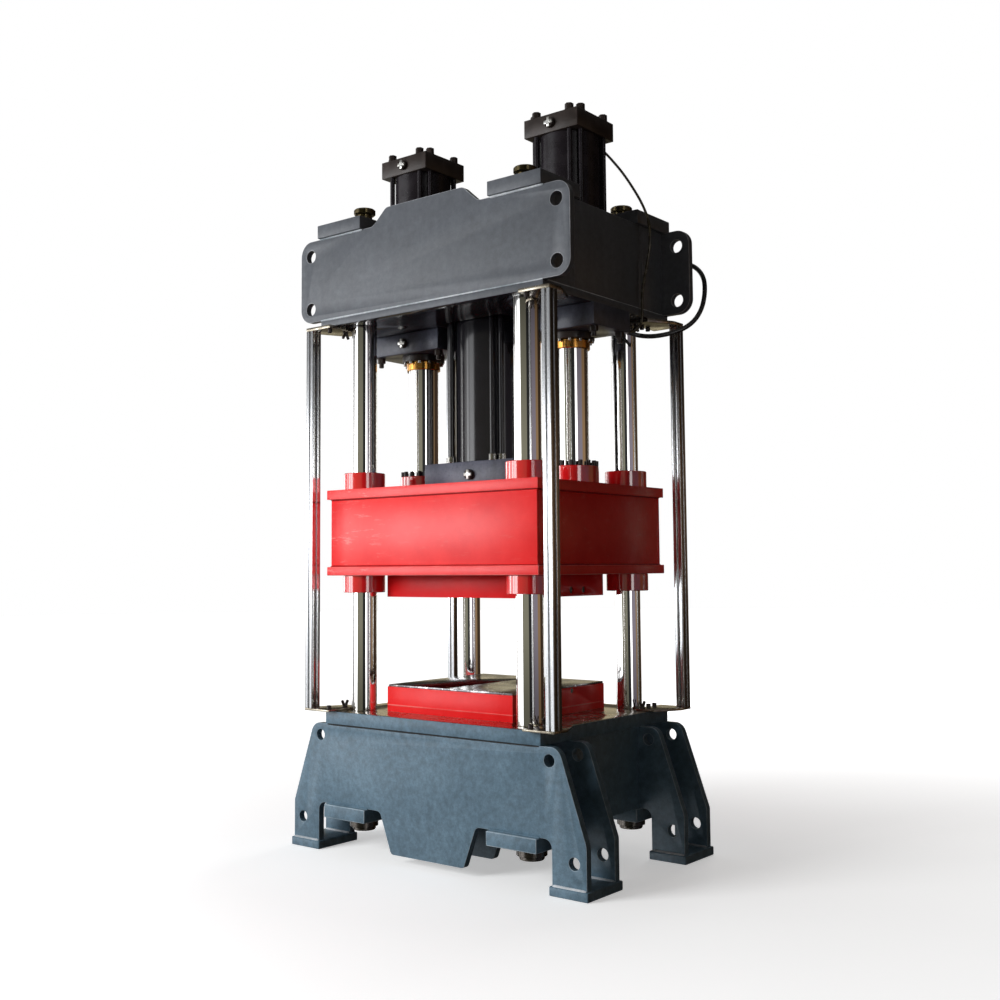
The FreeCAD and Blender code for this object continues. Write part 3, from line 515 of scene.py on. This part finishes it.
# Black bars inside the end holes are painted shade for the dark inside of the holes.
shade_bar_x, riser_hole_y, riser_hole_z = 0.400, 0.112, 0.915
shade_bar_length = 0.05
made("riser_hole_shade_bars", repeated(
    bmesh.new(), round_bar(0.0135, 0.0, shade_bar_length, 0.001, 24), [
        Matrix.Translation((side * shade_bar_x, riser_hole_y, riser_hole_z))
        @ Matrix.Rotation(side * math.pi / 2, 4, "Y") for side in (-1, 1)]),
     "frame", "black_finish", nut_steel)
riser_steel = ground_steel("riser_steel", (0.13, 0.125, 0.135), (0.34, 0.33, 0.34), film=0.9)
riser_top = eased(node_shape("riser_top_plate"), 0.0015)
riser_top_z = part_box("riser_top_plate")[1].z
slot_west, slot_east, slot_end, slot_depth = -0.026, -0.014, 0.040, 0.006
for place, normal in (((slot_west, 0, 0), (1, 0, 0)), ((slot_east, 0, 0), (1, 0, 0)),
                      ((0, slot_end, 0), (0, 1, 0))):
    bmesh.ops.bisect_plane(riser_top, geom=riser_top.verts[:] + riser_top.edges[:]
                           + riser_top.faces[:], plane_co=place, plane_no=normal)
slot_faces = [face for face in riser_top.faces if face.normal.z > 0.9
              and slot_west < face.calc_center_median().x < slot_east
              and face.calc_center_median().y < slot_end
              and face.calc_center_median().z > riser_top_z - 0.001]
sunk = bmesh.ops.extrude_face_region(riser_top, geom=slot_faces)["geom"]
bmesh.ops.delete(riser_top, geom=slot_faces, context="FACES_ONLY")
bmesh.ops.translate(riser_top, vec=(0, 0, -slot_depth),
                    verts=[item for item in sunk if isinstance(item, bmesh.types.BMVert)])
made("riser_top_ground", riser_top, "frame", "bright_steel", riser_steel, "riser_top_plate")


# Guide columns. Four hard-chromed round bars, ground and polished, that run from the blocks of the
# base to the blocks of the crown and carry a film of oil.
def hard_chrome(name):
    """Polished chrome under thin smears of oil."""
    material, tree, shader, place = new_finish(name)
    shader.inputs["Metallic"].default_value = 1
    smears = speckle(tree, place, 3, 3, (1, 1, 0.3))
    tree.links.new(ramp(tree, smears, [(0.35, (0.88, 0.88, 0.88)), (0.7, (0.78, 0.77, 0.75))]),
                   shader.inputs["Base Color"])
    tree.links.new(between(tree, smears, 0.045, 0.065), shader.inputs["Roughness"])
    return material


chrome = hard_chrome("hard_chrome")
column_low, column_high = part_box("guide_columns")
column = round_bar(column_radius, column_low.z, column_high.z, 0.003, 96)
made("columns_chromed", repeated(bmesh.new(), column, columns), "frame", "chrome_rod", chrome,
     "guide_columns")

# Crown. A box of upright plates on a thick floor plate, the outer two with lugs at their corners
# and a raised middle, all welded and painted dark grey.
crown_paint = slate_paint("crown_paint", (0.080, 0.086, 0.097), (0.096, 0.104, 0.119))
# The crown's rims take a paler tone, partly wear and partly a painted highlight along the edges.
crown_edge_wear_and_highlight = slate_paint("crown_edge_wear_and_highlight", (0.18, 0.19, 0.21), (0.44, 0.45, 0.47))
crown_underside = slate_paint("crown_underside", (0.022, 0.021, 0.030), (0.040, 0.038, 0.052),
                              0.16)
for node in ("crown_front_plate", "crown_rear_plate"):
    made(node + "_cut", eased(node_shape(node), 0.0035, 3, paled=True), "frame", "grey_paint",
         crown_paint, node, second=crown_edge_wear_and_highlight)
for node in ("crown_inner_plates", "crown_end_panels"):
    made(node + "_fitted", eased(node_shape(node), 0.002), "frame", "grey_paint", crown_paint,
         node)
crown_floor = eased(node_shape("crown_floor_plate"), 0.003)
for face in crown_floor.faces:
    face.material_index = int(face.normal.z < -0.9)
made("crown_floor_cut", crown_floor, "frame", "grey_paint", crown_paint, "crown_floor_plate",
     second=crown_underside)
crown_low, crown_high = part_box("crown_floor_plate")
crown_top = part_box("crown_inner_plates")[1].z
panel_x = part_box("crown_end_panels")[1].x
upper_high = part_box("upper_column_blocks")[1]
upper_width = 0.352
panel_seam = 0.58
crown_beads = bmesh.new()
for sign in (-1, 1):
    y = sign * crown_high.y
    weld_bead(crown_beads, (crown_low.x, y, crown_high.z), (crown_high.x, y, crown_high.z), 0.006)
    weld_bead(crown_beads, (sign * panel_x, -panel_seam, crown_high.z),
              (sign * panel_x, panel_seam, crown_high.z), 0.009)
    for side in (-1, 1):
        inner = side * (upper_high.x - upper_width)
        weld_bead(crown_beads, (inner, y, crown_top), (side * upper_high.x, y, crown_top), 0.009)
made("crown_welds", crown_beads, "frame", "grey_paint", weld_grey_highlight)
made("upper_blocks_ground", eased(node_shape("upper_column_blocks"), 0.003), "frame",
     "grey_paint", crown_paint, "upper_column_blocks")
upper_nut_low, upper_nut_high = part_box("upper_column_nuts")
head_low = upper_nut_high.z - 0.034
upper_nut = turned([(0, upper_nut_low.z), (0.045, upper_nut_low.z), (0.045, head_low - 0.002),
                    (0.058, head_low), (0.064, head_low + 0.006),
                    (0.064, upper_nut_high.z - 0.006), (0.058, upper_nut_high.z),
                    (0.038, upper_nut_high.z), (0.036, upper_nut_high.z - 0.008),
                    (0, upper_nut_high.z - 0.008)])
upper_steel = worn_steel("upper_nut_steel", (0.24, 0.19, 0.09), 0.22, (0.10, 0.08, 0.05))
made("upper_nuts_turned", repeated(bmesh.new(), upper_nut, columns), "frame", "nut_steel",
     upper_steel, "upper_column_nuts")


# Side cylinders. Heavy square flanges under the crown floor, barrels and square caps above it,
# held together by eight tie rods each, in satin black enamel.
def black_enamel(name, colour, roughness, dusty):
    """Black enamel with some dust in it."""
    material, tree, shader, place = new_finish(name)
    dust = speckle(tree, place, 11, 3)
    pale = tuple(part * (1 + 1.2 * dusty) + 0.004 * dusty for part in colour)
    tree.links.new(ramp(tree, dust, [(0.4, colour), (0.75, pale)]), shader.inputs["Base Color"])
    tree.links.new(between(tree, dust, roughness * 0.85, roughness * 1.2),
                   shader.inputs["Roughness"])
    return material


block_black = black_enamel("block_black", (0.020, 0.014, 0.012), 0.36, 0.8)
barrel_black = black_enamel("barrel_black", (0.012, 0.0095, 0.012), 0.27, 0.4)
# The pale blue-grey in the flange finish is partly dust on black enamel and partly a painted
# reflection of the sky.
flange_grey = slate_paint("flange_grey", (0.022, 0.024, 0.034), (0.105, 0.112, 0.150), 0.34)
made("flanges_machined", eased(node_shape("cylinder_flanges"), 0.003), "frame", "black_finish",
     flange_grey, "cylinder_flanges")
made("caps_machined", eased(node_shape("cylinder_caps"), 0.003), "frame", "black_finish",
     block_black, "cylinder_caps")
barrel_low, barrel_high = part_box("cylinder_barrels")
barrel_radius = barrel_high.y
cylinder_x = barrel_high.x - barrel_radius
cylinders = [Matrix.Translation((sign * cylinder_x, 0, 0)) for sign in (-1, 1)]
barrel = round_tube(barrel_radius - 0.024, barrel_radius, barrel_low.z, barrel_high.z, 0.001, 96)
made("barrels_turned", repeated(bmesh.new(), barrel, cylinders), "frame", "black_finish",
     barrel_black, "cylinder_barrels")
rod_circle = 0.193
rod_angle = math.radians(35.5)


def paired(circle, angles):
    """Eight places on a circle, at two angles in each quarter."""
    places = []
    for angle in angles:
        x, y = circle * math.cos(angle), circle * math.sin(angle)
        places += [Matrix.Translation((sx * x, sy * y, 0)) for sx in (-1, 1) for sy in (-1, 1)]
    return places


tie_places = [middle @ place for middle in cylinders
              for place in paired(rod_circle, (rod_angle, math.pi / 2 - rod_angle))]
tie_rod = round_bar(0.014, barrel_low.z, barrel_high.z, 0.001, 24)
made("tie_rods_turned", repeated(bmesh.new(), tie_rod, tie_places), "frame", "black_finish",
     barrel_black, "cylinder_tie_rods")


def hex_nut(across_flats, low, high, stud_radius, stud_top):
    """A hexagon nut on its washer, with the end of the stud standing out of it."""
    nut = bmesh.new()
    radius = across_flats / math.sqrt(3)
    bmesh.ops.create_cone(nut, cap_ends=True, segments=6, radius1=radius, radius2=radius,
                          depth=high - low, matrix=Matrix.Translation((0, 0, (low + high) / 2)))
    eased(nut, 0.0015, 1)
    repeated(nut, round_bar(radius * 1.02, low, low + 0.004, 0.0008, 24), [Matrix()])
    repeated(nut, round_bar(stud_radius, high - 0.002, stud_top, 0.002, 16), [Matrix()])
    return nut


cap_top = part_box("cylinder_caps")[1].z
nut_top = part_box("cap_nuts")[1].z
cap_nut = hex_nut(0.044, cap_top, nut_top - 0.004, 0.013, nut_top)
made("cap_nuts_tightened", repeated(bmesh.new(), cap_nut, tie_places), "frame", "black_finish",
     block_black, "cap_nuts")


# Glands. A black ring bolted under each flange holds a bronze bush that guides the piston rod.
def turned_bronze(name):
    """Turned bronze with fine rings and a darker tarnish."""
    material, tree, shader, place = new_finish(name)
    shader.inputs["Metallic"].default_value = 1
    tarnish = speckle(tree, place, 18, 5, roughness=0.7)
    tree.links.new(ramp(tree, tarnish, [(0.35, (0.80, 0.42, 0.10)), (0.7, (0.50, 0.22, 0.05))]),
                   shader.inputs["Base Color"])
    tree.links.new(between(tree, tarnish, 0.14, 0.26), shader.inputs["Roughness"])
    return material


bronze = turned_bronze("turned_bronze")
gland_low, gland_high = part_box("rod_glands")
gland_bore = 0.0909
gland = round_tube(gland_bore, gland_high.y, gland_low.z, gland_high.z, 0.003, 96)
made("glands_turned", repeated(bmesh.new(), gland, cylinders), "frame", "bronze", bronze,
     "rod_glands")
ring_low, ring_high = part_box("gland_retainers")
ring = round_tube(gland_bore, ring_high.y, ring_low.z, ring_high.z, 0.002, 96)
made("retainers_turned", repeated(bmesh.new(), ring, cylinders), "frame", "black_finish",
     block_black, "gland_retainers")


def cap_screw(radius, height):
    """The round head of a socket screw, standing on Z = 0 with its hexagon socket on top."""
    screw = bmesh.new()
    bmesh.ops.create_cone(screw, cap_ends=True, segments=24, radius1=radius, radius2=radius,
                          depth=height, matrix=Matrix.Translation((0, 0, height / 2)))
    eased(screw, radius * 0.1, 1)
    top = max(screw.faces, key=lambda face: face.calc_center_median().z)
    bmesh.ops.inset_region(screw, faces=[top], thickness=radius * 0.42, use_even_offset=True)
    bmesh.ops.translate(screw, vec=(0, 0, -height * 0.45), verts=top.verts)
    return screw


def around(count, circle, height, start=0.0):
    """Places evenly round a circle at one height."""
    return [Matrix.Translation((circle * math.cos(start + turn), circle * math.sin(start + turn),
                                height))
            for turn in (2 * math.pi * number / count for number in range(count))]


bolt_steel = worn_steel("bolt_steel", (0.50, 0.49, 0.47), 0.2, (0.30, 0.29, 0.27))
upside_down = Matrix.Rotation(math.pi, 4, "X")
retainer_circle = 0.1165
ring_screws = [middle @ place @ upside_down for middle in cylinders
               for place in around(12, retainer_circle, ring_low.z)]
hanger_x, hanger_y, hanger_z = 0.235, 0.13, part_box("cylinder_flanges")[0].z
hangers = [middle @ Matrix.Translation((sx * hanger_x, sy * hanger_y, hanger_z)) @ upside_down
           for middle in cylinders for sx in (-1, 1) for sy in (-1, 1)]
made("retainer_screws", repeated(bmesh.new(), cap_screw(0.0095, 0.014), ring_screws), "frame",
     "plated_steel", bolt_steel)
made("flange_bolts", repeated(bmesh.new(), hex_nut(0.046, 0, 0.03, 0.015, 0.058), hangers),
     "frame", "black_finish", block_black)

# Ports. Each cap and flange takes its oil through a round black boss with a plated cross on its
# face, held by four socket screws.
plated = worn_steel("plated_steel", (0.86, 0.86, 0.84), 0.3, (0.62, 0.61, 0.56))
facing = Matrix.Rotation(math.pi / 2, 4, "X")


def port_flange(radius, height):
    """A round black boss with a plated cross on its face, held by four screws between the arms."""
    port = round_bar(radius, 0, height - 0.007, 0.001, 48)
    for turn in (0, math.pi / 2):
        arm = bmesh.new()
        bmesh.ops.create_cube(arm, size=1, matrix=Matrix.Rotation(turn, 4, "Z")
                              @ Matrix.Translation((0, 0, height - 0.004))
                              @ Matrix.Diagonal((radius * 1.8, radius * 0.62, 0.006, 1)))
        eased(arm, 0.0012)
        for face in arm.faces:
            face.material_index = 1
        repeated(port, arm, [Matrix()])
    hub = round_bar(radius * 0.46, height - 0.008, height, 0.001, 32)
    for face in hub.faces:
        face.material_index = 1
    repeated(port, hub, [Matrix()])
    corner = radius * 0.49
    repeated(port, cap_screw(radius * 0.24, 0.006),
             [Matrix.Translation((x * corner, y * corner, height - 0.008))
              for x in (-1, 1) for y in (-1, 1)])
    return port


port_low, port_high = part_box("port_fittings")
port_depth = port_high.y - port_low.y
port_radius = port_high.x - cylinder_x
cap_middle = port_high.z - port_radius
flange_middle = port_low.z + port_radius
ports = [Matrix.Translation((sign * cylinder_x, port_high.y, z)) @ facing
         for sign in (-1, 1) for z in (cap_middle, flange_middle)]
made("ports_plated", repeated(bmesh.new(), port_flange(port_radius, port_depth), ports), "frame",
     "plated_steel", block_black, "port_fittings", second=plated)


# Outer posts. Slotted aluminium extrusions that carry the guards, each on a steel bracket bolted
# to the bolster and another under the crown.
def anodised(name):
    """Clear anodised aluminium with the fine lines of the die along it."""
    material, tree, shader, place = new_finish(name)
    shader.inputs["Metallic"].default_value = 1
    lines = speckle(tree, place, 90, 2, (12, 12, 0.003))
    tree.links.new(ramp(tree, lines, [(0.3, (0.70, 0.71, 0.73)), (0.7, (0.84, 0.85, 0.87))]),
                   shader.inputs["Base Color"])
    tree.links.new(between(tree, lines, 0.13, 0.22), shader.inputs["Roughness"])
    return material


aluminium = anodised("anodised_aluminium")
made("posts_extruded", eased(node_shape("outer_posts"), 0.002, 3), "frame", "aluminium_post",
     aluminium, "outer_posts")
bracket_steel = worn_steel("bracket_steel", (0.46, 0.42, 0.34), 0.24, (0.20, 0.17, 0.13))
made("brackets_cut", eased(node_shape("post_brackets"), 0.0015), "frame", "plated_steel",
     bracket_steel, "post_brackets")
lower_bracket, upper_bracket = 0.012, 0.020
bracket_rests = bolster_top + lower_bracket
bracket_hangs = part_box("post_brackets")[1].z - upper_bracket
bolt_x = 0.72
nipple_rows, bolt_rows = (-0.512, 0.421), (-0.640, 0.486, 0.551)
nipples = bmesh.new()
lean = math.radians(30)
repeated(nipples, round_bar(0.0085, 0.0, 0.046, 0.002, 16),
         [Matrix.Rotation(side * lean, 4, "X") for side in (-1, 1)])
repeated(nipples, round_bar(0.016, 0.0, 0.010, 0.002, 24), [Matrix()])
bolt = cap_screw(0.013, 0.022)
spots = bmesh.new()
for part, rows in ((nipples, nipple_rows), (bolt, bolt_rows)):
    repeated(spots, part, [place for y in rows for x in (-bolt_x, bolt_x) for place in
                           (Matrix.Translation((x, y, bracket_rests)),
                            Matrix.Translation((x, y, bracket_hangs)) @ upside_down)])
made("bracket_screws", spots, "frame", "black_finish", block_black)

# Platen. A red box girder of two flange plates and four webs that slides on the columns.
platen_red = red_enamel("platen_red", (0.80, 0.008, 0.010), (0.94, 0.026, 0.026), gloss=0.9,
                        scuffed=0.7)
for node in ("platen_bottom_plate", "platen_top_plate"):
    made(node + "_eased", eased(node_shape(node), 0.004, 3, paled=True), "platen", "red_paint",
         platen_red, node, second=red_edge_highlight)
made("long_webs_fitted", eased(node_shape("platen_long_webs"), 0.002), "platen", "red_paint",
     platen_red, "platen_long_webs")
made("end_webs_fitted", eased(node_shape("platen_end_webs"), 0.002), "platen", "red_paint",
     platen_red, "platen_end_webs")
web_low, web_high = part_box("platen_long_webs")
seam_leg, seam_pitch = 0.009, 0.014
web_beads = bmesh.new()
for z in (web_low.z, web_high.z):
    for sign in (-1, 1):
        weld_bead(web_beads, (web_low.x, sign * web_high.y, z), (web_high.x, sign * web_high.y, z),
                  seam_leg, seam_pitch)
        weld_bead(web_beads, (sign * web_high.x, web_low.y, z), (sign * web_high.x, web_high.y, z),
                  seam_leg, seam_pitch)
# The welds where the webs meet the flanges are dark red as painted shade in those corners.
made("web_welds", web_beads, "platen", "red_paint",
     red_enamel("painted_shade_red", (0.34, 0.0, 0.002), (0.46, 0.002, 0.004), gloss=0.2))

# Guide sleeves. Bronze-lined tubes through the platen, with a turned red collar above and below.
sleeve_low, sleeve_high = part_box("guide_sleeves")
sleeve_radius = sleeve_high.x - column_x
sleeve = round_tube(column_radius + 0.0004, sleeve_radius, sleeve_low.z, sleeve_high.z, 0.002, 96)
sleeve_red = red_enamel("sleeve_red", (0.66, 0.003, 0.006), (0.80, 0.008, 0.010), gloss=1.0,
                        blur=0.06, depth=2.0)
made("sleeves_turned", repeated(bmesh.new(), sleeve, columns), "platen", "red_paint", sleeve_red,
     "guide_sleeves")
collar_low, collar_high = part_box("sleeve_collars")
collar_radius = collar_high.x - column_x
platen_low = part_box("platen_bottom_plate")[0].z
platen_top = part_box("platen_top_plate")[1].z
collars = repeated(bmesh.new(), round_tube(sleeve_radius + 0.0004, collar_radius, collar_low.z,
                                           platen_low, 0.003, 96), columns)
repeated(collars, round_tube(sleeve_radius + 0.0004, collar_radius, platen_top, collar_high.z,
                             0.003, 96), columns)
made("collars_turned", collars, "platen", "red_paint", sleeve_red, "sleeve_collars")

# Upper die plate. A thick red plate bolted under the platen, with lifting holes in its ends that
# hold black bars as painted shade.
die_red = red_enamel("die_red", (0.62, 0.005, 0.008), (0.76, 0.014, 0.016), gloss=0.1)
made("die_plate_drilled", eased(node_shape("upper_die_plate"), 0.003), "platen", "red_paint",
     die_red, "upper_die_plate")
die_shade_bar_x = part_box("upper_die_plate")[1].x - 0.056
die_hole_rows, die_hole_z = (0.100, 0.224), 1.477
made("die_hole_shade_bars", repeated(
    bmesh.new(), round_bar(0.0195, 0.0, shade_bar_length, 0.001, 24), [
        Matrix.Translation((side * die_shade_bar_x, y, die_hole_z))
        @ Matrix.Rotation(side * math.pi / 2, 4, "Y") for side in (-1, 1)
        for y in die_hole_rows]), "platen", "black_finish", nut_steel)

# Piston rods. Chromed rods of the side cylinders, each held on the platen by a red ring with a
# circle of black socket screws.
rod_low, rod_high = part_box("cylinder_rods")
rod_radius = rod_high.y
rod = round_bar(rod_radius, rod_low.z, rod_high.z, 0.003, 96)
made("piston_rods_chromed", repeated(bmesh.new(), rod, cylinders), "platen", "chrome_rod", chrome,
     "cylinder_rods")
rod_ring_low, rod_ring_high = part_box("rod_flanges")
rod_ring = round_tube(rod_radius + 0.0004, rod_ring_high.y, rod_ring_low.z, rod_ring_high.z,
                      0.003, 96)
made("rod_rings_turned", repeated(bmesh.new(), rod_ring, cylinders), "platen", "red_paint",
     sleeve_red, "rod_flanges")
ring_circle = rod_ring_high.y - 0.014
ring_places = [middle @ place for middle in cylinders
               for place in around(16, ring_circle, rod_ring_high.z, 0.13)]
made("rod_ring_screws", repeated(bmesh.new(), cap_screw(0.0125, 0.030), ring_places), "platen",
     "black_finish", block_black)

# Middle cylinder. The biggest one stands on the platen in a square flange and rises through the
# crown floor, with eight tie rods up to its square cap.
made("middle_flange_machined", eased(node_shape("middle_cylinder_flange"), 0.003), "platen",
     "black_finish", flange_grey, "middle_cylinder_flange")
middle_low, middle_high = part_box("middle_cylinder_barrel")
middle_radius = middle_high.y
middle = round_tube(middle_radius - 0.03, middle_radius, middle_low.z, middle_high.z, 0.001, 96)
middle_black = black_enamel("middle_black", (0.010, 0.0095, 0.012), 0.12, 0.2)
made("middle_barrel_turned", middle, "platen", "black_finish", middle_black,
     "middle_cylinder_barrel")
made("middle_cap_machined", eased(node_shape("middle_cylinder_cap"), 0.003), "platen",
     "black_finish", block_black, "middle_cylinder_cap")
middle_circle = middle_radius + 0.031
middle_ties = paired(middle_circle, [math.radians(angle) for angle in (42.8, 54.3)])
middle_tie = round_bar(0.016, middle_low.z, middle_high.z, 0.001, 24)
made("middle_rods_turned", repeated(bmesh.new(), middle_tie, middle_ties), "platen",
     "black_finish", middle_black, "middle_tie_rods")
middle_flange_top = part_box("middle_cylinder_flange")[1].z
middle_cap_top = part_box("middle_cylinder_cap")[1].z
middle_nuts = repeated(bmesh.new(), hex_nut(0.044, middle_flange_top, middle_flange_top + 0.036,
                                            0.015, middle_flange_top + 0.040), middle_ties)
repeated(middle_nuts, hex_nut(0.044, middle_cap_top, middle_cap_top + 0.028, 0.015,
                              middle_cap_top + 0.040), middle_ties)
made("middle_nuts_tightened", middle_nuts, "platen", "plated_steel", bolt_steel)
middle_port_low, middle_port_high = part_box("middle_port_fitting")
middle_port = Matrix.Translation((0, middle_port_high.y,
                                  (middle_port_low.z + middle_port_high.z) / 2)) @ facing
made("middle_port_plated", repeated(bmesh.new(), port_flange(port_radius, port_depth),
                                    [middle_port]), "platen", "plated_steel", block_black,
     "middle_port_fitting", second=plated)


# Hose and cable. A rubber hose goes from the right flange round the post to the back of the crown,
# and a thin cable hangs from the right cap in a free curve down to the same flange.
def rubber(name, colour, roughness):
    """Black rubber with a bloom of dust."""
    material, tree, shader, place = new_finish(name)
    bloom = speckle(tree, place, 30, 4)
    pale = tuple(part * 2.5 + 0.01 for part in colour)
    tree.links.new(ramp(tree, bloom, [(0.4, colour), (0.75, pale)]), shader.inputs["Base Color"])
    tree.links.new(between(tree, bloom, roughness * 0.8, roughness * 1.3),
                   shader.inputs["Roughness"])
    relief(tree, shader, speckle(tree, place, 500, 2), 0.1, 0.0004)
    return material


def laid(name, points, radius, material, node):
    """A cord whose middle line is one smooth curve through the route's points."""
    curve = bpy.data.curves.new(name, "CURVE")
    curve.dimensions = "3D"
    curve.resolution_u = 16
    curve.bevel_depth = radius
    curve.bevel_resolution = 5
    curve.use_fill_caps = True
    spline = curve.splines.new("NURBS")
    spline.points.add(len(points) - 1)
    for point, (x, y, z) in zip(spline.points, points):
        point.co = (x / 1000, y / 1000, z / 1000, 1)
    spline.order_u = 3
    spline.use_endpoint_u = True
    curve.materials.append(material)
    cord = bpy.data.objects.new(name, curve)
    bpy.context.scene.collection.objects.link(cord)
    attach(cord, "frame")
    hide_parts(node)
    return cord


hose_points = [
    (700, 212, 2968),
    (700, 268, 2968),
    (712, 326, 2954),
    (750, 384, 2934),
    (812, 428, 2926),
    (872, 470, 2934),
    (925, 518, 2952),
    (972, 566, 2982),
    (1008, 610, 3030),
    (1030, 645, 3098),
    (1039, 663, 3174),
    (1038, 669, 3250),
    (1023, 669, 3298),
    (994, 668, 3338),
    (954, 667, 3367),
    (907, 666, 3382),
    (858, 666, 3382),
]
cable_points = [
    (560, 206, 4070),
    (560, 250, 4070),
    (575, 289, 4053),
    (600, 311, 4024),
    (652, 312, 3962),
    (728, 290, 3874),
    (803, 268, 3772),
    (870, 262, 3662),
    (916, 262, 3548),
    (921, 262, 3425),
    (899, 262, 3310),
    (867, 268, 3205),
    (848, 281, 3112),
    (840, 294, 3052),
    (833, 303, 3004),
    (826, 292, 2967),
    (816, 267, 2939),
    (808, 233, 2924),
    (808, 195, 2924),
]
hose = laid("hose_rubber", hose_points, 0.0135, rubber("hose_skin", (0.012, 0.012, 0.012), 0.3),
            "hose_loop")
cable = laid("cable_rubber", cable_points, 0.0075,
             rubber("cable_skin", (0.045, 0.038, 0.022), 0.24), "sensor_cable")
for node, material in (("hose_fittings", plated), ("cable_sockets", block_black)):
    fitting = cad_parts[node]
    fitting.data.materials.clear()
    fitting.data.materials.append(material)
